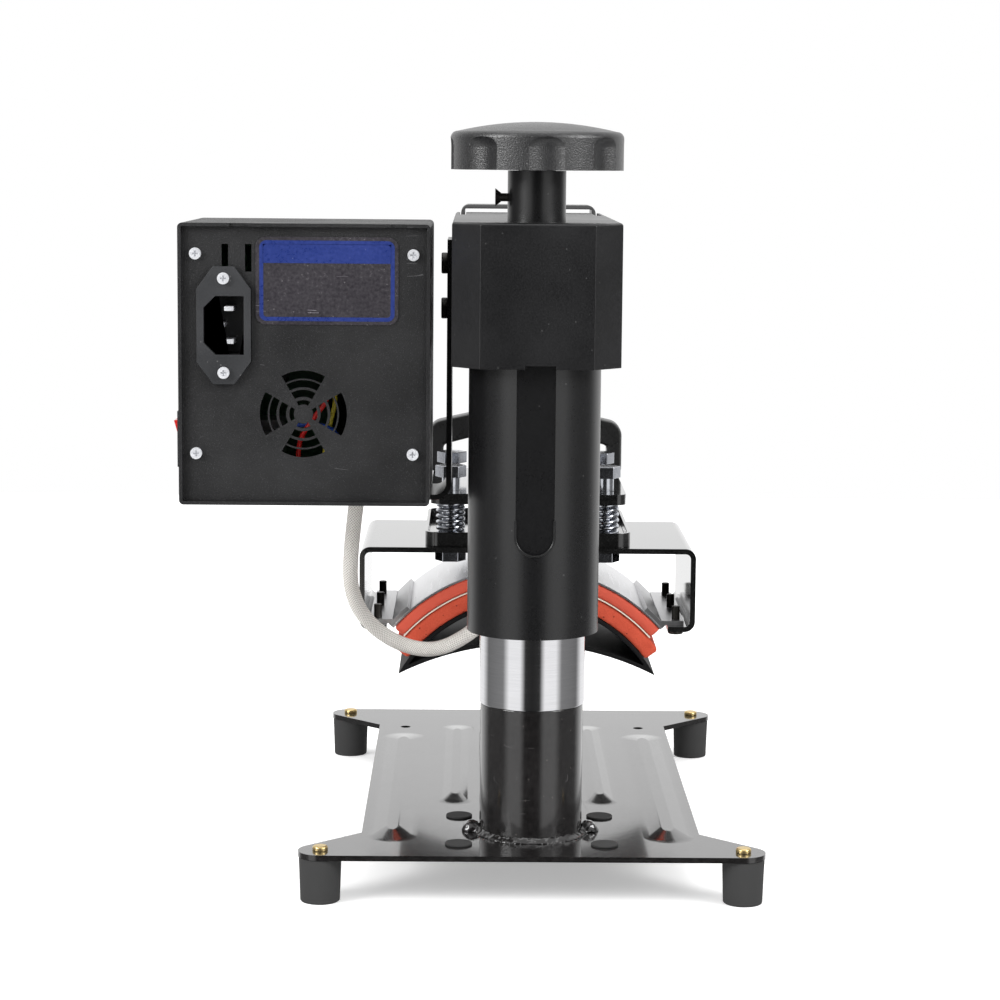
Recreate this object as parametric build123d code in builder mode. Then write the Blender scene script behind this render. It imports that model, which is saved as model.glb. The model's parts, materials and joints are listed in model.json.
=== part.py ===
from build123d import *
from math import cos, pi, radians, sin, sqrt, tan
import os

os.makedirs("parts", exist_ok=True)

# Heat press for caps, in millimetres. Z points up from the floor, Y points from the column
# towards the lever's grip, and X points right for someone who looks at the column's back.
# The sizes below are counted from the column's axis on the floor.

# Base plate on four feet
plate_width = 148
plate_length = 300
plate_back = -45
plate_sheet = 2.4
ear_reach = 26
ear_length = 39
foot_height = 19.6
foot_top_radius = 9.15
foot_low_radius = 8.5
foot_inset = 9.5
foot_screw_radius = 2
rib_height = 1.5
outer_rib_x = 60.5
outer_rib_width = 19
outer_rib_length = 215
inner_rib_x = 33.5
inner_rib_width = 13
inner_rib_length = 168
bench_hole_spacing = 120.8
bench_hole_radius = 2.5
bench_hole_y = 211
plug_radius = 5.85
plug_rim = 1.8
plug_x = 31.5
plug_spots_y = (-25, 24)

# Column: a post on the plate and a bright tube that slides in the arm's sleeve
post_radius = 22.5
post_top = 80
post_wall = 5
spigot_length = 30
tube_radius = 23
tube_wall = 3
tube_top = 213
nut_length = 22
nut_flange = 3
sleeve_radius = 28.5
sleeve_bottom = 112
sleeve_panel_width = 16.5
sleeve_panel_bottom = 148
sleeve_panel_depth = 0.8
sliding_gap = 0.05
fit_gap = 0.03

# Head: a folded cover over the arm's two cheeks
head_half_width = 36
head_bottom = 228
head_top = 289
head_back = -35
head_facet_half = 24
head_shoulder = -22
head_front = 176
cover_sheet = 1.5
cover_hole_gap = 1
cheek_outside = 30
cheek_thickness = 3
cheek_front = 172
arm_top_plate = 4
arm_low_plate = 4
lever_slot_start = 118
lever_slot_gap = 0.5

# Pressure knob, its collar and the screw that lifts the arm
knob_radius = 37
knob_bottom = 310.7
knob_rim_height = 16.3
knob_rim = knob_bottom + knob_rim_height
knob_crown_rise = 4
knob_crown = knob_rim + knob_crown_rise
knob_recesses = 8
recess_radius = 14
recess_centre = 48
recess_margin = 2
recess_top = knob_rim - recess_margin
recess_turn = -85
collar_radius = 12.5
screw_radius = 8
screw_bottom = 160
shoulder_radius = 12
shoulder_height = 4
bush_flange = 3
bush_flange_radius = 20
bush_radius = 14
lock_screw_height = 299
lock_screw_reach = 5.3
lock_head_radius = 3.9
lock_neck_radius = 1.75

# Toggle and lever, over the middle of the platen
press_y = 152
lever_pivot_height = 270
crank_length = 22
lever_shaft_radius = 6
crank_half_width = 4
crank_hub_radius = 10
crank_tip_radius = 7
link_plate = 4
link_radius = 6
toggle_gap = 0.3
pin_radius = 3.5
lever_half_width = 33.2
lever_sheet = 2
lever_hub_radius = 10
lever_bar_height = 14
lever_web_start = 177
lever_web_length = 22
lever_web_top = 292.7
grip_y = 272
grip_radius = 11
grip_rod_radius = 5
grip_height = 272
grip_round = 3

# Ram, press plate and grab handle
ram_radius = 10
yoke_half_length = 8
yoke_base = 4
yoke_floor_gap = 2.5
ear_thickness = 4
slot_run = 8
guide_radius = 18
guide_bottom = 191
ram_flange_radius = 16
ram_flange = 3
press_half_width = 46.5
press_start = 107
press_end = 212
press_top = 157.5
press_plate_thickness = 5
handle_half_width = 49
handle_leg = 7.5
handle_depth = 14
handle_corner_height = 182
handle_crown_height = 193
handle_bar = 11

# Springs and their bolts between the press plate and the heater
bolt_x = 37
bolt_spots_y = (122, 182)
bolt_radius = 4.2
bolt_head_across = 13
bolt_head_bottom = 164
bolt_head_height = 5.5
bolt_hole_gap = 0.4
nut_height = 6
spring_outer_radius = 7
spring_wire = 2
spring_turns = 6
tray_half_width = 49
tray_start = 107
tray_end = 197
tray_floor = 2.5
tray_height = 7
tray_wall = 1.6

# Heater: an arched mat under a bright shell, carried by a bracket of inverted U shape
arc_height = 36
heater_start = 110
heater_end = 195
bracket_half_width = 80
bracket_start = 105
bracket_end = 200
bracket_top = 132
bracket_low = 92
bracket_sheet = 2.5
crown_room = 7.5
shell_radius = bracket_top - bracket_sheet - crown_room - arc_height
shell_sheet = 1
mat_thickness = 6
heater_half_angle = 48.7
bracket_bend = 5
bracket_lip = 13
clamp_sheet = 2
clamp_screw_x = 71.5
clamp_screw_spots_y = (115, 150, 185)
clamp_screw_radius = 1.9
clamp_screw_top = 103
clamp_head_radius = 3.6
clamp_head_height = 2.4

# Cap platen under the heater
pad_gap = 0.7
pad_thickness = 8
pad_half_angle = 54
platen_sheet = 2
saddle_radius = 135
saddle_centre_height = -50.4
strut_x = 20
stem_half_width = 15
stem_half_length = 18
stem_wall = 3
stem_foot_half_width = 22
stem_foot_half_length = 30
stem_foot_thickness = 4
stem_screw_radius = 3
stem_screw_inset = 6
stem_screw_head_radius = 4.8
stem_nut_across = 9.9

# Control box on the head's left side
box_left = -152
box_right = -45
box_back = -15
box_front = 75
box_bottom = 167.5
box_top = 287.5
box_sheet = 1.5
box_corner = 2
back_plate_recess = 3
panel_sheet = 1.2
front_recess = 1.5
tab_size = 12
screw_side_inset = 7.3
screw_top_inset = 13
screw_low_inset = 22
small_screw_radius = 1.5
small_head_radius = 2.5
small_head_height = 1.8
small_screw_length = 5
inlet_inset = 19.4
inlet_drop = 43.3
inlet_flange_height = 50
inlet_flange_width = 23
inlet_flange_thickness = 3
inlet_body_height = 31
inlet_body_width = 23
inlet_body_depth = 22
inlet_screw_spacing = 40
socket_width = 17.1
socket_height = 24.9
socket_corner = 5
socket_depth = 16
pin_length = 13
pin_width = 2
pin_height = 4
slot_width = 2.8
slot_height = 11.7
slot_insets = (18.4, 28.3)
slot_drop = 8.9
rating_width = 60.6
rating_height = 37.3
rating_inset = 32.8
rating_drop = 5.6
rating_corner = 4.5
rating_thickness = 0.5
grille_inset = 53
grille_drop = 81
grille_rings = ((4.1, 6.0), (7.4, 10.4), (11.5, 14.5), (15.2, 18.6))
grille_half_angle = 30
switch_rise = 27.5
switch_height = box_bottom + switch_rise
switch_frame_tall = 24
switch_frame_wide = 17
switch_frame_thickness = 1.2
switch_body_depth = 12
switch_wall = 1.2
rocker_pivot_depth = 3.5
rocker_half_height = 8.75
rocker_half_width = 5.5
rocker_reach = 3
rocker_swing = 10
rocker_gap = 0.3
rocker_end_gap = 1.2

# Box bracket
arm_bracket_sheet = 2.3
arm_bracket_start = 25
arm_bracket_end = 65
arm_bracket_top = 280
arm_bracket_flange_end = -70
arm_bracket_bend = 5
bracket_screw_heights = (249, 269)
bracket_head_radius = 4.7
bracket_head_height = 2.8
bracket_shank_radius = 2.5
flange_screw_x = -57
flange_screw_spacing = 20
flange_screw_radius = 2

# Electrics in the box, the front panel and its keys
board_left = -148
board_right = -92
board_low = 175
board_high = 280
board_y = 56
board_thickness = 1.6
standoff_radius = 3
standoff_inset = 4.5
standoff_drop = 17
relay_size = (20, 14, 24)
transformer_size = (36, 34, 32)
window_width = 44
window_height = 22
window_drop = 30
window_sheet = 1.5
key_radius = 4
key_spacing = 16
key_drop = 62
key_stand_out = 1.6
key_gap = 0.3
key_travel = 1

# Heater cable, in a slot of the box's floor at its top and a gland on the heater at its end
cable_radius = 3.5
cable_slot_centre = (-80.6, 65)
cable_slot_size = (16, 12)
cable_route = (
    (-78.3, 64, 184),
    (-78.6, 64, 168),
    (-80.6, 64.2, 151),
    (-82.4, 65.6, 134),
    (-82.8, 71.5, 118),
    (-78.3, 79.5, 104.5),
    (-69.5, 86.5, 94),
    (-57, 91, 86.5),
    (-43, 93.3, 84.5),
    (-30.5, 96, 90),
    (-20, 100, 98),
    (-10.5, 103, 106.5),
    (-3.1, 103, 113.9),
)
gland_radius = 6
gland_length = 9
gland_foot_half_width = 6
gland_foot_low = 117.5
gland_foot_top = 124

# The part's origin is on the floor, in the middle of its reach, so the column stands off it
column_x = -(box_left - rocker_reach + plate_width / 2 + ear_reach) / 2
column_y = -(plate_back + grip_y + grip_radius) / 2
column_axis = Axis((column_x, column_y, 0), (0, 0, 1))


def level(height):
    """Level plane, its origin on the column's axis."""
    return Plane((column_x, column_y, height))


def across(depth):
    """Upright plane across the press, X to the right and Z up, facing back."""
    return Plane((column_x, column_y + depth, 0), x_dir=(1, 0, 0), z_dir=(0, -1, 0))


def along(offset):
    """Upright plane along the press, Y to the right and Z up, facing right."""
    return Plane((column_x + offset, column_y, 0), x_dir=(0, 1, 0), z_dir=(1, 0, 0))


def block(x_span, y_span, z_span, mode=Mode.ADD):
    """Box between three pairs of limits."""
    middle = [sum(span) / 2 for span in (x_span, y_span, z_span)]
    with Locations((column_x + middle[0], column_y + middle[1], middle[2])):
        Box(x_span[1] - x_span[0], y_span[1] - y_span[0], z_span[1] - z_span[0], mode=mode)


def rod_z(x, y, radius, low, high, mode=Mode.ADD):
    """Upright round bar."""
    with BuildSketch(level(low)) as disc:
        with Locations((x, y)):
            Circle(radius)
    extrude(disc.sketch, amount=high - low, mode=mode)


def rod_y(x, z, radius, start, end, mode=Mode.ADD):
    """Round bar along Y."""
    with BuildSketch(across(end)) as disc:
        with Locations((x, z)):
            Circle(radius)
    extrude(disc.sketch, amount=end - start, mode=mode)


def rod_x(y, z, radius, start, end, mode=Mode.ADD):
    """Round bar along X."""
    with BuildSketch(along(start)) as disc:
        with Locations((y, z)):
            Circle(radius)
    extrude(disc.sketch, amount=end - start, mode=mode)


def hexagon_z(x, y, across_flats, low, high):
    """Upright six-sided bar, for bolt heads and nuts."""
    with BuildSketch(level(low)) as outline:
        with Locations((x, y)):
            RegularPolygon(across_flats / 2, 6, major_radius=False)
    extrude(outline.sketch, amount=high - low)


def arch_sector(radius, half_angle):
    """Half of a pie slice about the upright, as corner points from the arc's centre."""
    reach = radius * 2
    side = radians(half_angle)
    return [
        (0, arc_height),
        (-reach * sin(side), arc_height + reach * cos(side)),
        (reach * sin(side), arc_height + reach * cos(side)),
    ]


def arch(outer_radius, inner_radius, half_angle):
    """Curved sheet along the heater's length, about the heater's arc axis."""
    with BuildSketch(across(heater_end)) as outline:
        with Locations((0, arc_height)):
            Circle(outer_radius)
            Circle(inner_radius, mode=Mode.SUBTRACT)
        with BuildLine():
            Polyline(*arch_sector(outer_radius, half_angle), close=True)
        make_face(mode=Mode.INTERSECT)
    extrude(outline.sketch, amount=heater_end - heater_start)


def save(piece, name):
    """Label a finished piece and write it under its name."""
    piece.part.label = name
    export_step(piece.part, f"parts/{name}.step")


# Base plate: pressed sheet with an ear at each corner and ribs along it
plate_top = foot_height + plate_sheet
plate_front = plate_back + plate_length
plate_half = plate_width / 2
foot_x = plate_half + ear_reach - foot_inset
foot_spots = [
    (side * foot_x, y)
    for side in (-1, 1)
    for y in (plate_back + foot_inset, plate_front - foot_inset)
]
stem_foot_screws = [
    (side * (stem_foot_half_width - stem_screw_inset),
     press_y + end * (stem_foot_half_length - stem_screw_inset))
    for side in (-1, 1)
    for end in (-1, 1)
]
plug_spots = [(side * plug_x, y) for side in (-1, 1) for y in plug_spots_y]
plug_stem_radius = plug_radius - plug_rim
outer_rib_start = -20
inner_rib_start = 47


def rib(x, start, width, length, low, mode):
    """Long raised or sunk slot along the plate."""
    with BuildSketch(level(low)) as outline:
        with Locations((x, start + length / 2)):
            SlotOverall(length, width, rotation=90)
    extrude(outline.sketch, amount=rib_height, mode=mode)


with BuildPart() as base_plate:
    block((-plate_half, plate_half), (plate_back, plate_front), (foot_height, plate_top))
    for side in (-1, 1):
        for foot_y, ear_y in (
            (plate_back + foot_inset, plate_back + ear_length / 2),
            (plate_front - foot_inset, plate_front - ear_length / 2),
        ):
            with BuildSketch(level(foot_height)):
                with Locations((side * foot_x, foot_y)):
                    Circle(foot_inset)
                with Locations((side * (plate_half - foot_inset), ear_y)):
                    Rectangle(2 * foot_inset, ear_length)
                make_hull()
            extrude(amount=plate_sheet)
    for side in (-1, 1):
        for x, start, width, length in (
            (side * outer_rib_x, outer_rib_start, outer_rib_width, outer_rib_length),
            (side * inner_rib_x, inner_rib_start, inner_rib_width, inner_rib_length),
        ):
            rib(x, start, width, length, plate_top, Mode.ADD)
            rib(x, start + plate_sheet, width - 2 * plate_sheet, length - 2 * plate_sheet,
                foot_height, Mode.SUBTRACT)
        rod_z(side * bench_hole_spacing / 2, bench_hole_y, bench_hole_radius,
              foot_height, plate_top, Mode.SUBTRACT)
    for x, y in foot_spots:
        rod_z(x, y, foot_screw_radius, foot_height, plate_top, Mode.SUBTRACT)
    for x, y in plug_spots:
        rod_z(x, y, plug_stem_radius, foot_height, plate_top, Mode.SUBTRACT)
    for x, y in stem_foot_screws:
        rod_z(x, y, stem_screw_radius, foot_height, plate_top, Mode.SUBTRACT)
save(base_plate, "base_plate")

# Rubber feet, a little narrower at the floor, each with a blind screw hole
foot_hole_bottom = foot_height / 2
with BuildPart() as rubber_feet:
    for x, y in foot_spots:
        with BuildSketch(level(0)):
            with Locations((x, y)):
                Circle(foot_low_radius)
        with BuildSketch(level(foot_height)):
            with Locations((x, y)):
                Circle(foot_top_radius)
        loft()
        rod_z(x, y, foot_screw_radius, foot_hole_bottom, foot_height, Mode.SUBTRACT)
save(rubber_feet, "rubber_feet")

foot_screw_head = 3.3
foot_screw_crown = 1
with BuildPart() as foot_screws:
    for x, y in foot_spots:
        rod_z(x, y, foot_screw_radius, foot_hole_bottom, plate_top)
        rod_z(x, y, foot_screw_head, plate_top, plate_top + foot_screw_radius)
    fillet(foot_screws.faces().filter_by(Axis.Z).group_by(Axis.Z)[-1].edges(), foot_screw_crown)
save(foot_screws, "foot_screws")

# Plugs in the plate's round holes
plug_crown = 0.9
with BuildPart() as hole_plugs:
    for x, y in plug_spots:
        rod_z(x, y, plug_stem_radius, foot_height, plate_top)
        rod_z(x, y, plug_radius, plate_top, plate_top + plug_crown)
save(hole_plugs, "hole_plugs")

# Column: the post with its spigot, the weld round its foot, the bright tube and its nut
tube_bore = tube_radius - tube_wall
spigot_radius = tube_bore - fit_gap
with BuildPart() as column_post:
    rod_z(0, 0, post_radius, plate_top, post_top)
    rod_z(0, 0, spigot_radius, post_top, post_top + spigot_length)
    rod_z(0, 0, post_radius - post_wall, plate_top, post_top + spigot_length, Mode.SUBTRACT)
save(column_post, "column_post")

weld_leg = 3
weld_lump = 5
with BuildPart() as column_weld:
    with BuildSketch(across(0)):
        with BuildLine():
            Polyline(
                (post_radius, plate_top),
                (post_radius + weld_leg, plate_top),
                (post_radius, plate_top + weld_leg),
                close=True,
            )
        make_face()
    revolve(axis=column_axis)
    for side in (-1, 1):
        with Locations((column_x + side * (post_radius + weld_leg), column_y, plate_top)):
            Sphere(weld_lump)
    rod_z(0, 0, post_radius, 0, post_top, Mode.SUBTRACT)
    block((-plate_half, plate_half), (-plate_half, plate_half), (0, plate_top), Mode.SUBTRACT)
save(column_weld, "column_weld")

with BuildPart() as column_tube:
    rod_z(0, 0, tube_radius, post_top, tube_top)
    rod_z(0, 0, tube_bore, post_top, tube_top, Mode.SUBTRACT)
save(column_tube, "column_tube")

with BuildPart() as lift_nut:
    rod_z(0, 0, tube_bore - fit_gap, tube_top - nut_length, tube_top)
    rod_z(0, 0, tube_radius - 4 * fit_gap, tube_top, tube_top + nut_flange)
    rod_z(0, 0, screw_radius + sliding_gap, tube_top - nut_length, tube_top + nut_flange,
          Mode.SUBTRACT)
save(lift_nut, "lift_nut")

# Platen post: a box tube on a foot, its top cut to the saddle's curve
with BuildPart() as platen_post:
    stem_x = (-stem_half_width, stem_half_width)
    stem_y = (press_y - stem_half_length, press_y + stem_half_length)
    stem_z = (plate_top, saddle_centre_height + saddle_radius + stem_wall)
    block(stem_x, stem_y, stem_z)
    block((stem_x[0] + stem_wall, stem_x[1] - stem_wall), (stem_y[0] + stem_wall, stem_y[1] - stem_wall),
          stem_z, Mode.SUBTRACT)
    rod_y(0, saddle_centre_height, saddle_radius, stem_y[0], stem_y[1], Mode.INTERSECT)
    block((-stem_foot_half_width, stem_foot_half_width),
          (press_y - stem_foot_half_length, press_y + stem_foot_half_length),
          (plate_top, plate_top + stem_foot_thickness))
    for x, y in stem_foot_screws:
        rod_z(x, y, stem_screw_radius, plate_top, plate_top + stem_foot_thickness, Mode.SUBTRACT)
save(platen_post, "platen_post")

stem_foot_top = plate_top + stem_foot_thickness
post_nut_height = 5
with BuildPart() as post_screws:
    for x, y in stem_foot_screws:
        rod_z(x, y, stem_screw_radius, foot_height, stem_foot_top)
        rod_z(x, y, stem_screw_head_radius, stem_foot_top, stem_foot_top + stem_screw_radius)
        hexagon_z(x, y, stem_nut_across, foot_height - post_nut_height, foot_height)
save(post_screws, "post_screws")

# Cap platen: a crescent of sheet with two struts, and the soft pad over it
mat_inner = shell_radius - shell_sheet - mat_thickness
pad_outer = mat_inner - pad_gap
platen_outer = pad_outer - pad_thickness - fit_gap
with BuildPart() as platen_frame:
    with BuildSketch(across(heater_end)) as crescent:
        with Locations((0, arc_height)):
            Circle(platen_outer)
        with Locations((0, saddle_centre_height)):
            Circle(saddle_radius + fit_gap, mode=Mode.SUBTRACT)
    extrude(crescent.sketch, amount=heater_end - heater_start)
    with BuildSketch(across(heater_end)) as hollow:
        with Locations((0, arc_height)):
            Circle(platen_outer - platen_sheet)
        with Locations((0, saddle_centre_height)):
            Circle(saddle_radius + platen_sheet, mode=Mode.SUBTRACT)
        with Locations((-strut_x, arc_height + platen_outer), (strut_x, arc_height + platen_outer)):
            Rectangle(platen_sheet, platen_outer, mode=Mode.SUBTRACT)
    extrude(hollow.sketch, amount=heater_end - heater_start, mode=Mode.SUBTRACT)
save(platen_frame, "platen_frame")

with BuildPart() as platen_pad:
    arch(pad_outer, platen_outer + fit_gap, pad_half_angle)
save(platen_pad, "platen_pad")

# Arm sleeve: slides on the column's tube, with a flat pressed panel down its back
cover_inside_top = head_top - cover_sheet
top_plate_low = cover_inside_top - arm_top_plate
sleeve_bore = tube_radius + sliding_gap
pressed_face = -sqrt(sleeve_radius**2 - (sleeve_panel_width / 2) ** 2) + sleeve_panel_depth / 4
with BuildPart() as arm_sleeve:
    rod_z(0, 0, sleeve_radius, sleeve_bottom, top_plate_low)
    rod_z(0, 0, sleeve_bore, sleeve_bottom, top_plate_low, Mode.SUBTRACT)
    panel_tall = head_bottom + sleeve_panel_width - sleeve_panel_bottom
    with BuildSketch(across(pressed_face)):
        with Locations((0, sleeve_panel_bottom + panel_tall / 2)):
            SlotOverall(panel_tall, sleeve_panel_width, rotation=90)
    extrude(amount=sleeve_radius, mode=Mode.SUBTRACT)
save(arm_sleeve, "arm_sleeve")

# Arm frame: two cheeks welded to the sleeve, closed above and below, with the ram's guide
cheek_inside = cheek_outside - cheek_thickness
frame_low = head_bottom + arm_low_plate
guide_bore = sqrt((crank_half_width + link_plate + 2 * toggle_gap + ear_thickness) ** 2 + yoke_half_length**2)
guide_bore = guide_bore + 2 * toggle_gap
frame_back = head_shoulder - cheek_thickness
with BuildPart() as arm_frame:
    block((-cheek_outside, cheek_outside), (0, cheek_front), (head_bottom, top_plate_low))
    block((-cheek_inside, cheek_inside), (0, cheek_front), (frame_low, top_plate_low), Mode.SUBTRACT)
    rod_z(0, 0, sleeve_radius, head_bottom, top_plate_low, Mode.SUBTRACT)
    block((-cheek_outside, cheek_outside), (frame_back, cheek_front), (top_plate_low, cover_inside_top))
    rod_z(0, 0, bush_radius, top_plate_low, cover_inside_top, Mode.SUBTRACT)
    rod_z(0, press_y, guide_radius, guide_bottom, frame_low)
    rod_z(0, press_y, guide_bore, guide_bottom, frame_low, Mode.SUBTRACT)
    rod_x(press_y, lever_pivot_height, lever_shaft_radius + sliding_gap,
          -cheek_outside, cheek_outside, Mode.SUBTRACT)
save(arm_frame, "arm_frame")

# Head cover: folded sheet, open below and in front, slotted for the lever's two legs
lever_inside = lever_half_width - lever_sheet
bracket_middle = (arm_bracket_start + arm_bracket_end) / 2
notch_right = 8
notch_left = -5
with BuildPart() as head_cover:
    with BuildSketch(level(head_bottom)) as cover_outline:
        with BuildLine():
            Polyline(
                (-head_facet_half, head_back),
                (head_facet_half, head_back),
                (head_half_width, head_shoulder),
                (head_half_width, head_front),
                (-head_half_width, head_front),
                (-head_half_width, head_shoulder),
                close=True,
            )
        make_face()
    extrude(amount=head_top - head_bottom)
    fillet(head_cover.faces().sort_by(Axis.Z)[-1].edges(), cover_sheet)
    with BuildSketch(level(head_bottom)) as cover_inside:
        add(cover_outline.sketch_local)
        offset(amount=-cover_sheet, kind=Kind.INTERSECTION)
    extrude(cover_inside.sketch, amount=cover_inside_top - head_bottom, mode=Mode.SUBTRACT)
    inside_half = head_half_width - cover_sheet
    block((-inside_half, inside_half), (head_shoulder, head_front), (head_bottom, cover_inside_top),
          Mode.SUBTRACT)
    for side in (-1, 1):
        slot_edges = sorted((side * (lever_inside - lever_slot_gap),
                             side * (lever_half_width + lever_slot_gap)))
        block(slot_edges, (lever_slot_start, head_front), (cover_inside_top, head_top), Mode.SUBTRACT)
    rod_z(0, 0, screw_radius + cover_hole_gap, cover_inside_top, head_top, Mode.SUBTRACT)
    block((notch_left, notch_right), (head_back, head_back + cover_sheet),
          (head_bottom, head_bottom + cover_sheet), Mode.SUBTRACT)
    for height in bracket_screw_heights:
        rod_x(bracket_middle, height, bracket_shank_radius, -head_half_width, -inside_half, Mode.SUBTRACT)
save(head_cover, "head_cover")

# Bushes for the lifting screw and for the ram
screw_hole = screw_radius + sliding_gap
bush_low = top_plate_low - bush_flange
with BuildPart() as thrust_bush:
    rod_z(0, 0, bush_radius - fit_gap, top_plate_low, cover_inside_top)
    rod_z(0, 0, bush_flange_radius, bush_low, top_plate_low)
    rod_z(0, 0, screw_hole, bush_low, cover_inside_top, Mode.SUBTRACT)
save(thrust_bush, "thrust_bush")

knee_height = lever_pivot_height - crank_length
ram_pin_height = knee_height - crank_length
slot_low = ram_pin_height - slot_run
yoke_top = ram_pin_height + crank_tip_radius
yoke_floor = slot_low - pin_radius - yoke_floor_gap
yoke_low = yoke_floor - yoke_base
with BuildPart() as ram_bush:
    rod_z(0, press_y, guide_bore - fit_gap, guide_bottom, yoke_low - toggle_gap)
    rod_z(0, press_y, ram_radius + sliding_gap, guide_bottom, yoke_low, Mode.SUBTRACT)
save(ram_bush, "ram_bush")

# Collar on the head and the small screw that locks the knob's shaft in it
collar_top = knob_bottom - toggle_gap
lock_axis = Axis((column_x, column_y, lock_screw_height), (1, 0, 0))
with BuildPart() as knob_collar:
    rod_z(0, 0, collar_radius, head_top, collar_top)
    rod_z(0, 0, screw_hole, head_top, collar_top, Mode.SUBTRACT)
    rod_x(0, lock_screw_height, lock_neck_radius + sliding_gap, -collar_radius, 0, Mode.SUBTRACT)
save(knob_collar, "knob_collar")

with BuildPart() as lock_screw:
    with BuildSketch(across(0)):
        with BuildLine():
            Polyline(
                (-screw_radius - toggle_gap, lock_screw_height),
                (-screw_radius - toggle_gap, lock_screw_height + lock_neck_radius),
                (-collar_radius - lock_screw_reach / 2, lock_screw_height + lock_neck_radius),
                (-collar_radius - lock_screw_reach, lock_screw_height + lock_head_radius),
                (-collar_radius - lock_screw_reach, lock_screw_height),
                close=True,
            )
        make_face()
    revolve(axis=lock_axis)
save(lock_screw, "lock_screw")

# Pressure knob with eight finger recesses, on the lifting screw
knob_edge = 3
shaft_cover = 5
shaft_top = knob_rim - shaft_cover
recess_round = 5
with BuildPart() as finger_recess:
    rod_z(recess_centre, 0, recess_radius, knob_bottom - recess_round, recess_top)
    fillet(finger_recess.faces().sort_by(Axis.Z)[-1].edges(), recess_round)

with BuildPart() as hand_knob:
    with BuildSketch(across(0)):
        with BuildLine():
            Polyline((0, knob_crown), (0, knob_bottom), (knob_radius, knob_bottom),
                     (knob_radius, knob_rim - knob_edge))
            TangentArc((knob_radius, knob_rim - knob_edge), (knob_radius - knob_edge, knob_rim),
                       tangent=(0, 1))
            TangentArc((0, knob_crown), (knob_radius - knob_edge, knob_rim), tangent=(1, 0))
        make_face()
    revolve(axis=column_axis)
    for turn in range(knob_recesses):
        angle = recess_turn + turn * 360 / knob_recesses
        add(finger_recess.part.rotate(column_axis, angle), mode=Mode.SUBTRACT)
    rod_z(0, 0, screw_radius + fit_gap, knob_bottom, shaft_top, Mode.SUBTRACT)
save(hand_knob, "hand_knob")

shoulder_top = bush_low - toggle_gap
screw_lead_in = 1
with BuildPart() as adjust_screw:
    rod_z(0, 0, screw_radius, screw_bottom, shaft_top)
    rod_z(0, 0, shoulder_radius, shoulder_top - shoulder_height, shoulder_top)
    chamfer(adjust_screw.faces().sort_by(Axis.Z)[0].edges(), screw_lead_in)
save(adjust_screw, "adjust_screw")

# Lever: a bent sheet bail with two legs, its grip rod, grip and shaft
web_slope_back = 12
web_slope_front = 6
lug_back = lever_web_start - web_slope_back
bar_low = lever_pivot_height - lever_bar_height / 2
with BuildPart() as lever_bail:
    with BuildSketch(along(-lever_half_width)) as leg:
        with BuildLine():
            Polyline(
                (press_y, bar_low),
                (grip_y, bar_low),
                (grip_y, bar_low + lever_bar_height),
                (lever_web_start + lever_web_length + web_slope_front, bar_low + lever_bar_height),
                (lever_web_start + lever_web_length, lever_web_top),
                (lever_web_start, lever_web_top),
                (lug_back, bar_low + lever_bar_height),
                (press_y, bar_low + lever_bar_height),
                close=True,
            )
        make_face()
        with Locations((press_y, lever_pivot_height)):
            Circle(lever_hub_radius)
        with Locations((grip_y, grip_height)):
            Circle(grip_radius - lever_sheet)
        with Locations((press_y, lever_pivot_height)):
            Circle(lever_shaft_radius, mode=Mode.SUBTRACT)
    extrude(leg.sketch, amount=2 * lever_half_width)
    fillet(
        lever_bail.faces().sort_by(Axis.Z)[-1].edges().filter_by(Axis.Y),
        2 * lever_sheet,
    )
    with BuildSketch(along(-lever_inside)) as between:
        with Locations((grip_y - press_y, lever_pivot_height)):
            Rectangle(2 * grip_y, 2 * (lever_web_top - lever_sheet - lever_pivot_height))
    extrude(between.sketch, amount=2 * lever_inside, mode=Mode.SUBTRACT)
    rod_x(grip_y, grip_height, grip_rod_radius, -lever_inside, lever_inside)
save(lever_bail, "lever_bail")

with BuildPart() as lever_grip:
    rod_x(grip_y, grip_height, grip_radius, -lever_inside + toggle_gap, lever_inside - toggle_gap)
    fillet(lever_grip.edges().filter_by(GeomType.CIRCLE), grip_round)
    rod_x(grip_y, grip_height, grip_rod_radius + fit_gap, -lever_inside, lever_inside, Mode.SUBTRACT)
save(lever_grip, "lever_grip")

with BuildPart() as lever_shaft:
    rod_x(press_y, lever_pivot_height, lever_shaft_radius - fit_gap,
          -inside_half + toggle_gap, inside_half - toggle_gap)
save(lever_shaft, "lever_shaft")

# Toggle: the crank on the shaft, the knee pin, the two links and the ram's pin
def toggle_plate(offset, thickness, top, top_radius, low, low_radius):
    """Flat link between two heights over the ram, round at both ends."""
    with BuildSketch(along(offset)) as outline:
        with Locations((press_y, top)):
            Circle(top_radius)
        with Locations((press_y, low)):
            Circle(low_radius)
        make_hull()
    extrude(outline.sketch, amount=thickness)


with BuildPart() as toggle_crank:
    toggle_plate(-crank_half_width, 2 * crank_half_width, lever_pivot_height, crank_hub_radius,
                 knee_height, crank_tip_radius)
    rod_x(press_y, lever_pivot_height, lever_shaft_radius, -crank_half_width, crank_half_width,
          Mode.SUBTRACT)
    rod_x(press_y, knee_height, pin_radius + fit_gap, -crank_half_width, crank_half_width,
          Mode.SUBTRACT)
save(toggle_crank, "toggle_crank")

link_start = crank_half_width + toggle_gap
link_end = link_start + link_plate
ear_start = link_end + toggle_gap
ear_end = ear_start + ear_thickness
with BuildPart() as knee_pin:
    rod_x(press_y, knee_height, pin_radius, -link_end - toggle_gap, link_end + toggle_gap)
save(knee_pin, "knee_pin")

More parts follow.
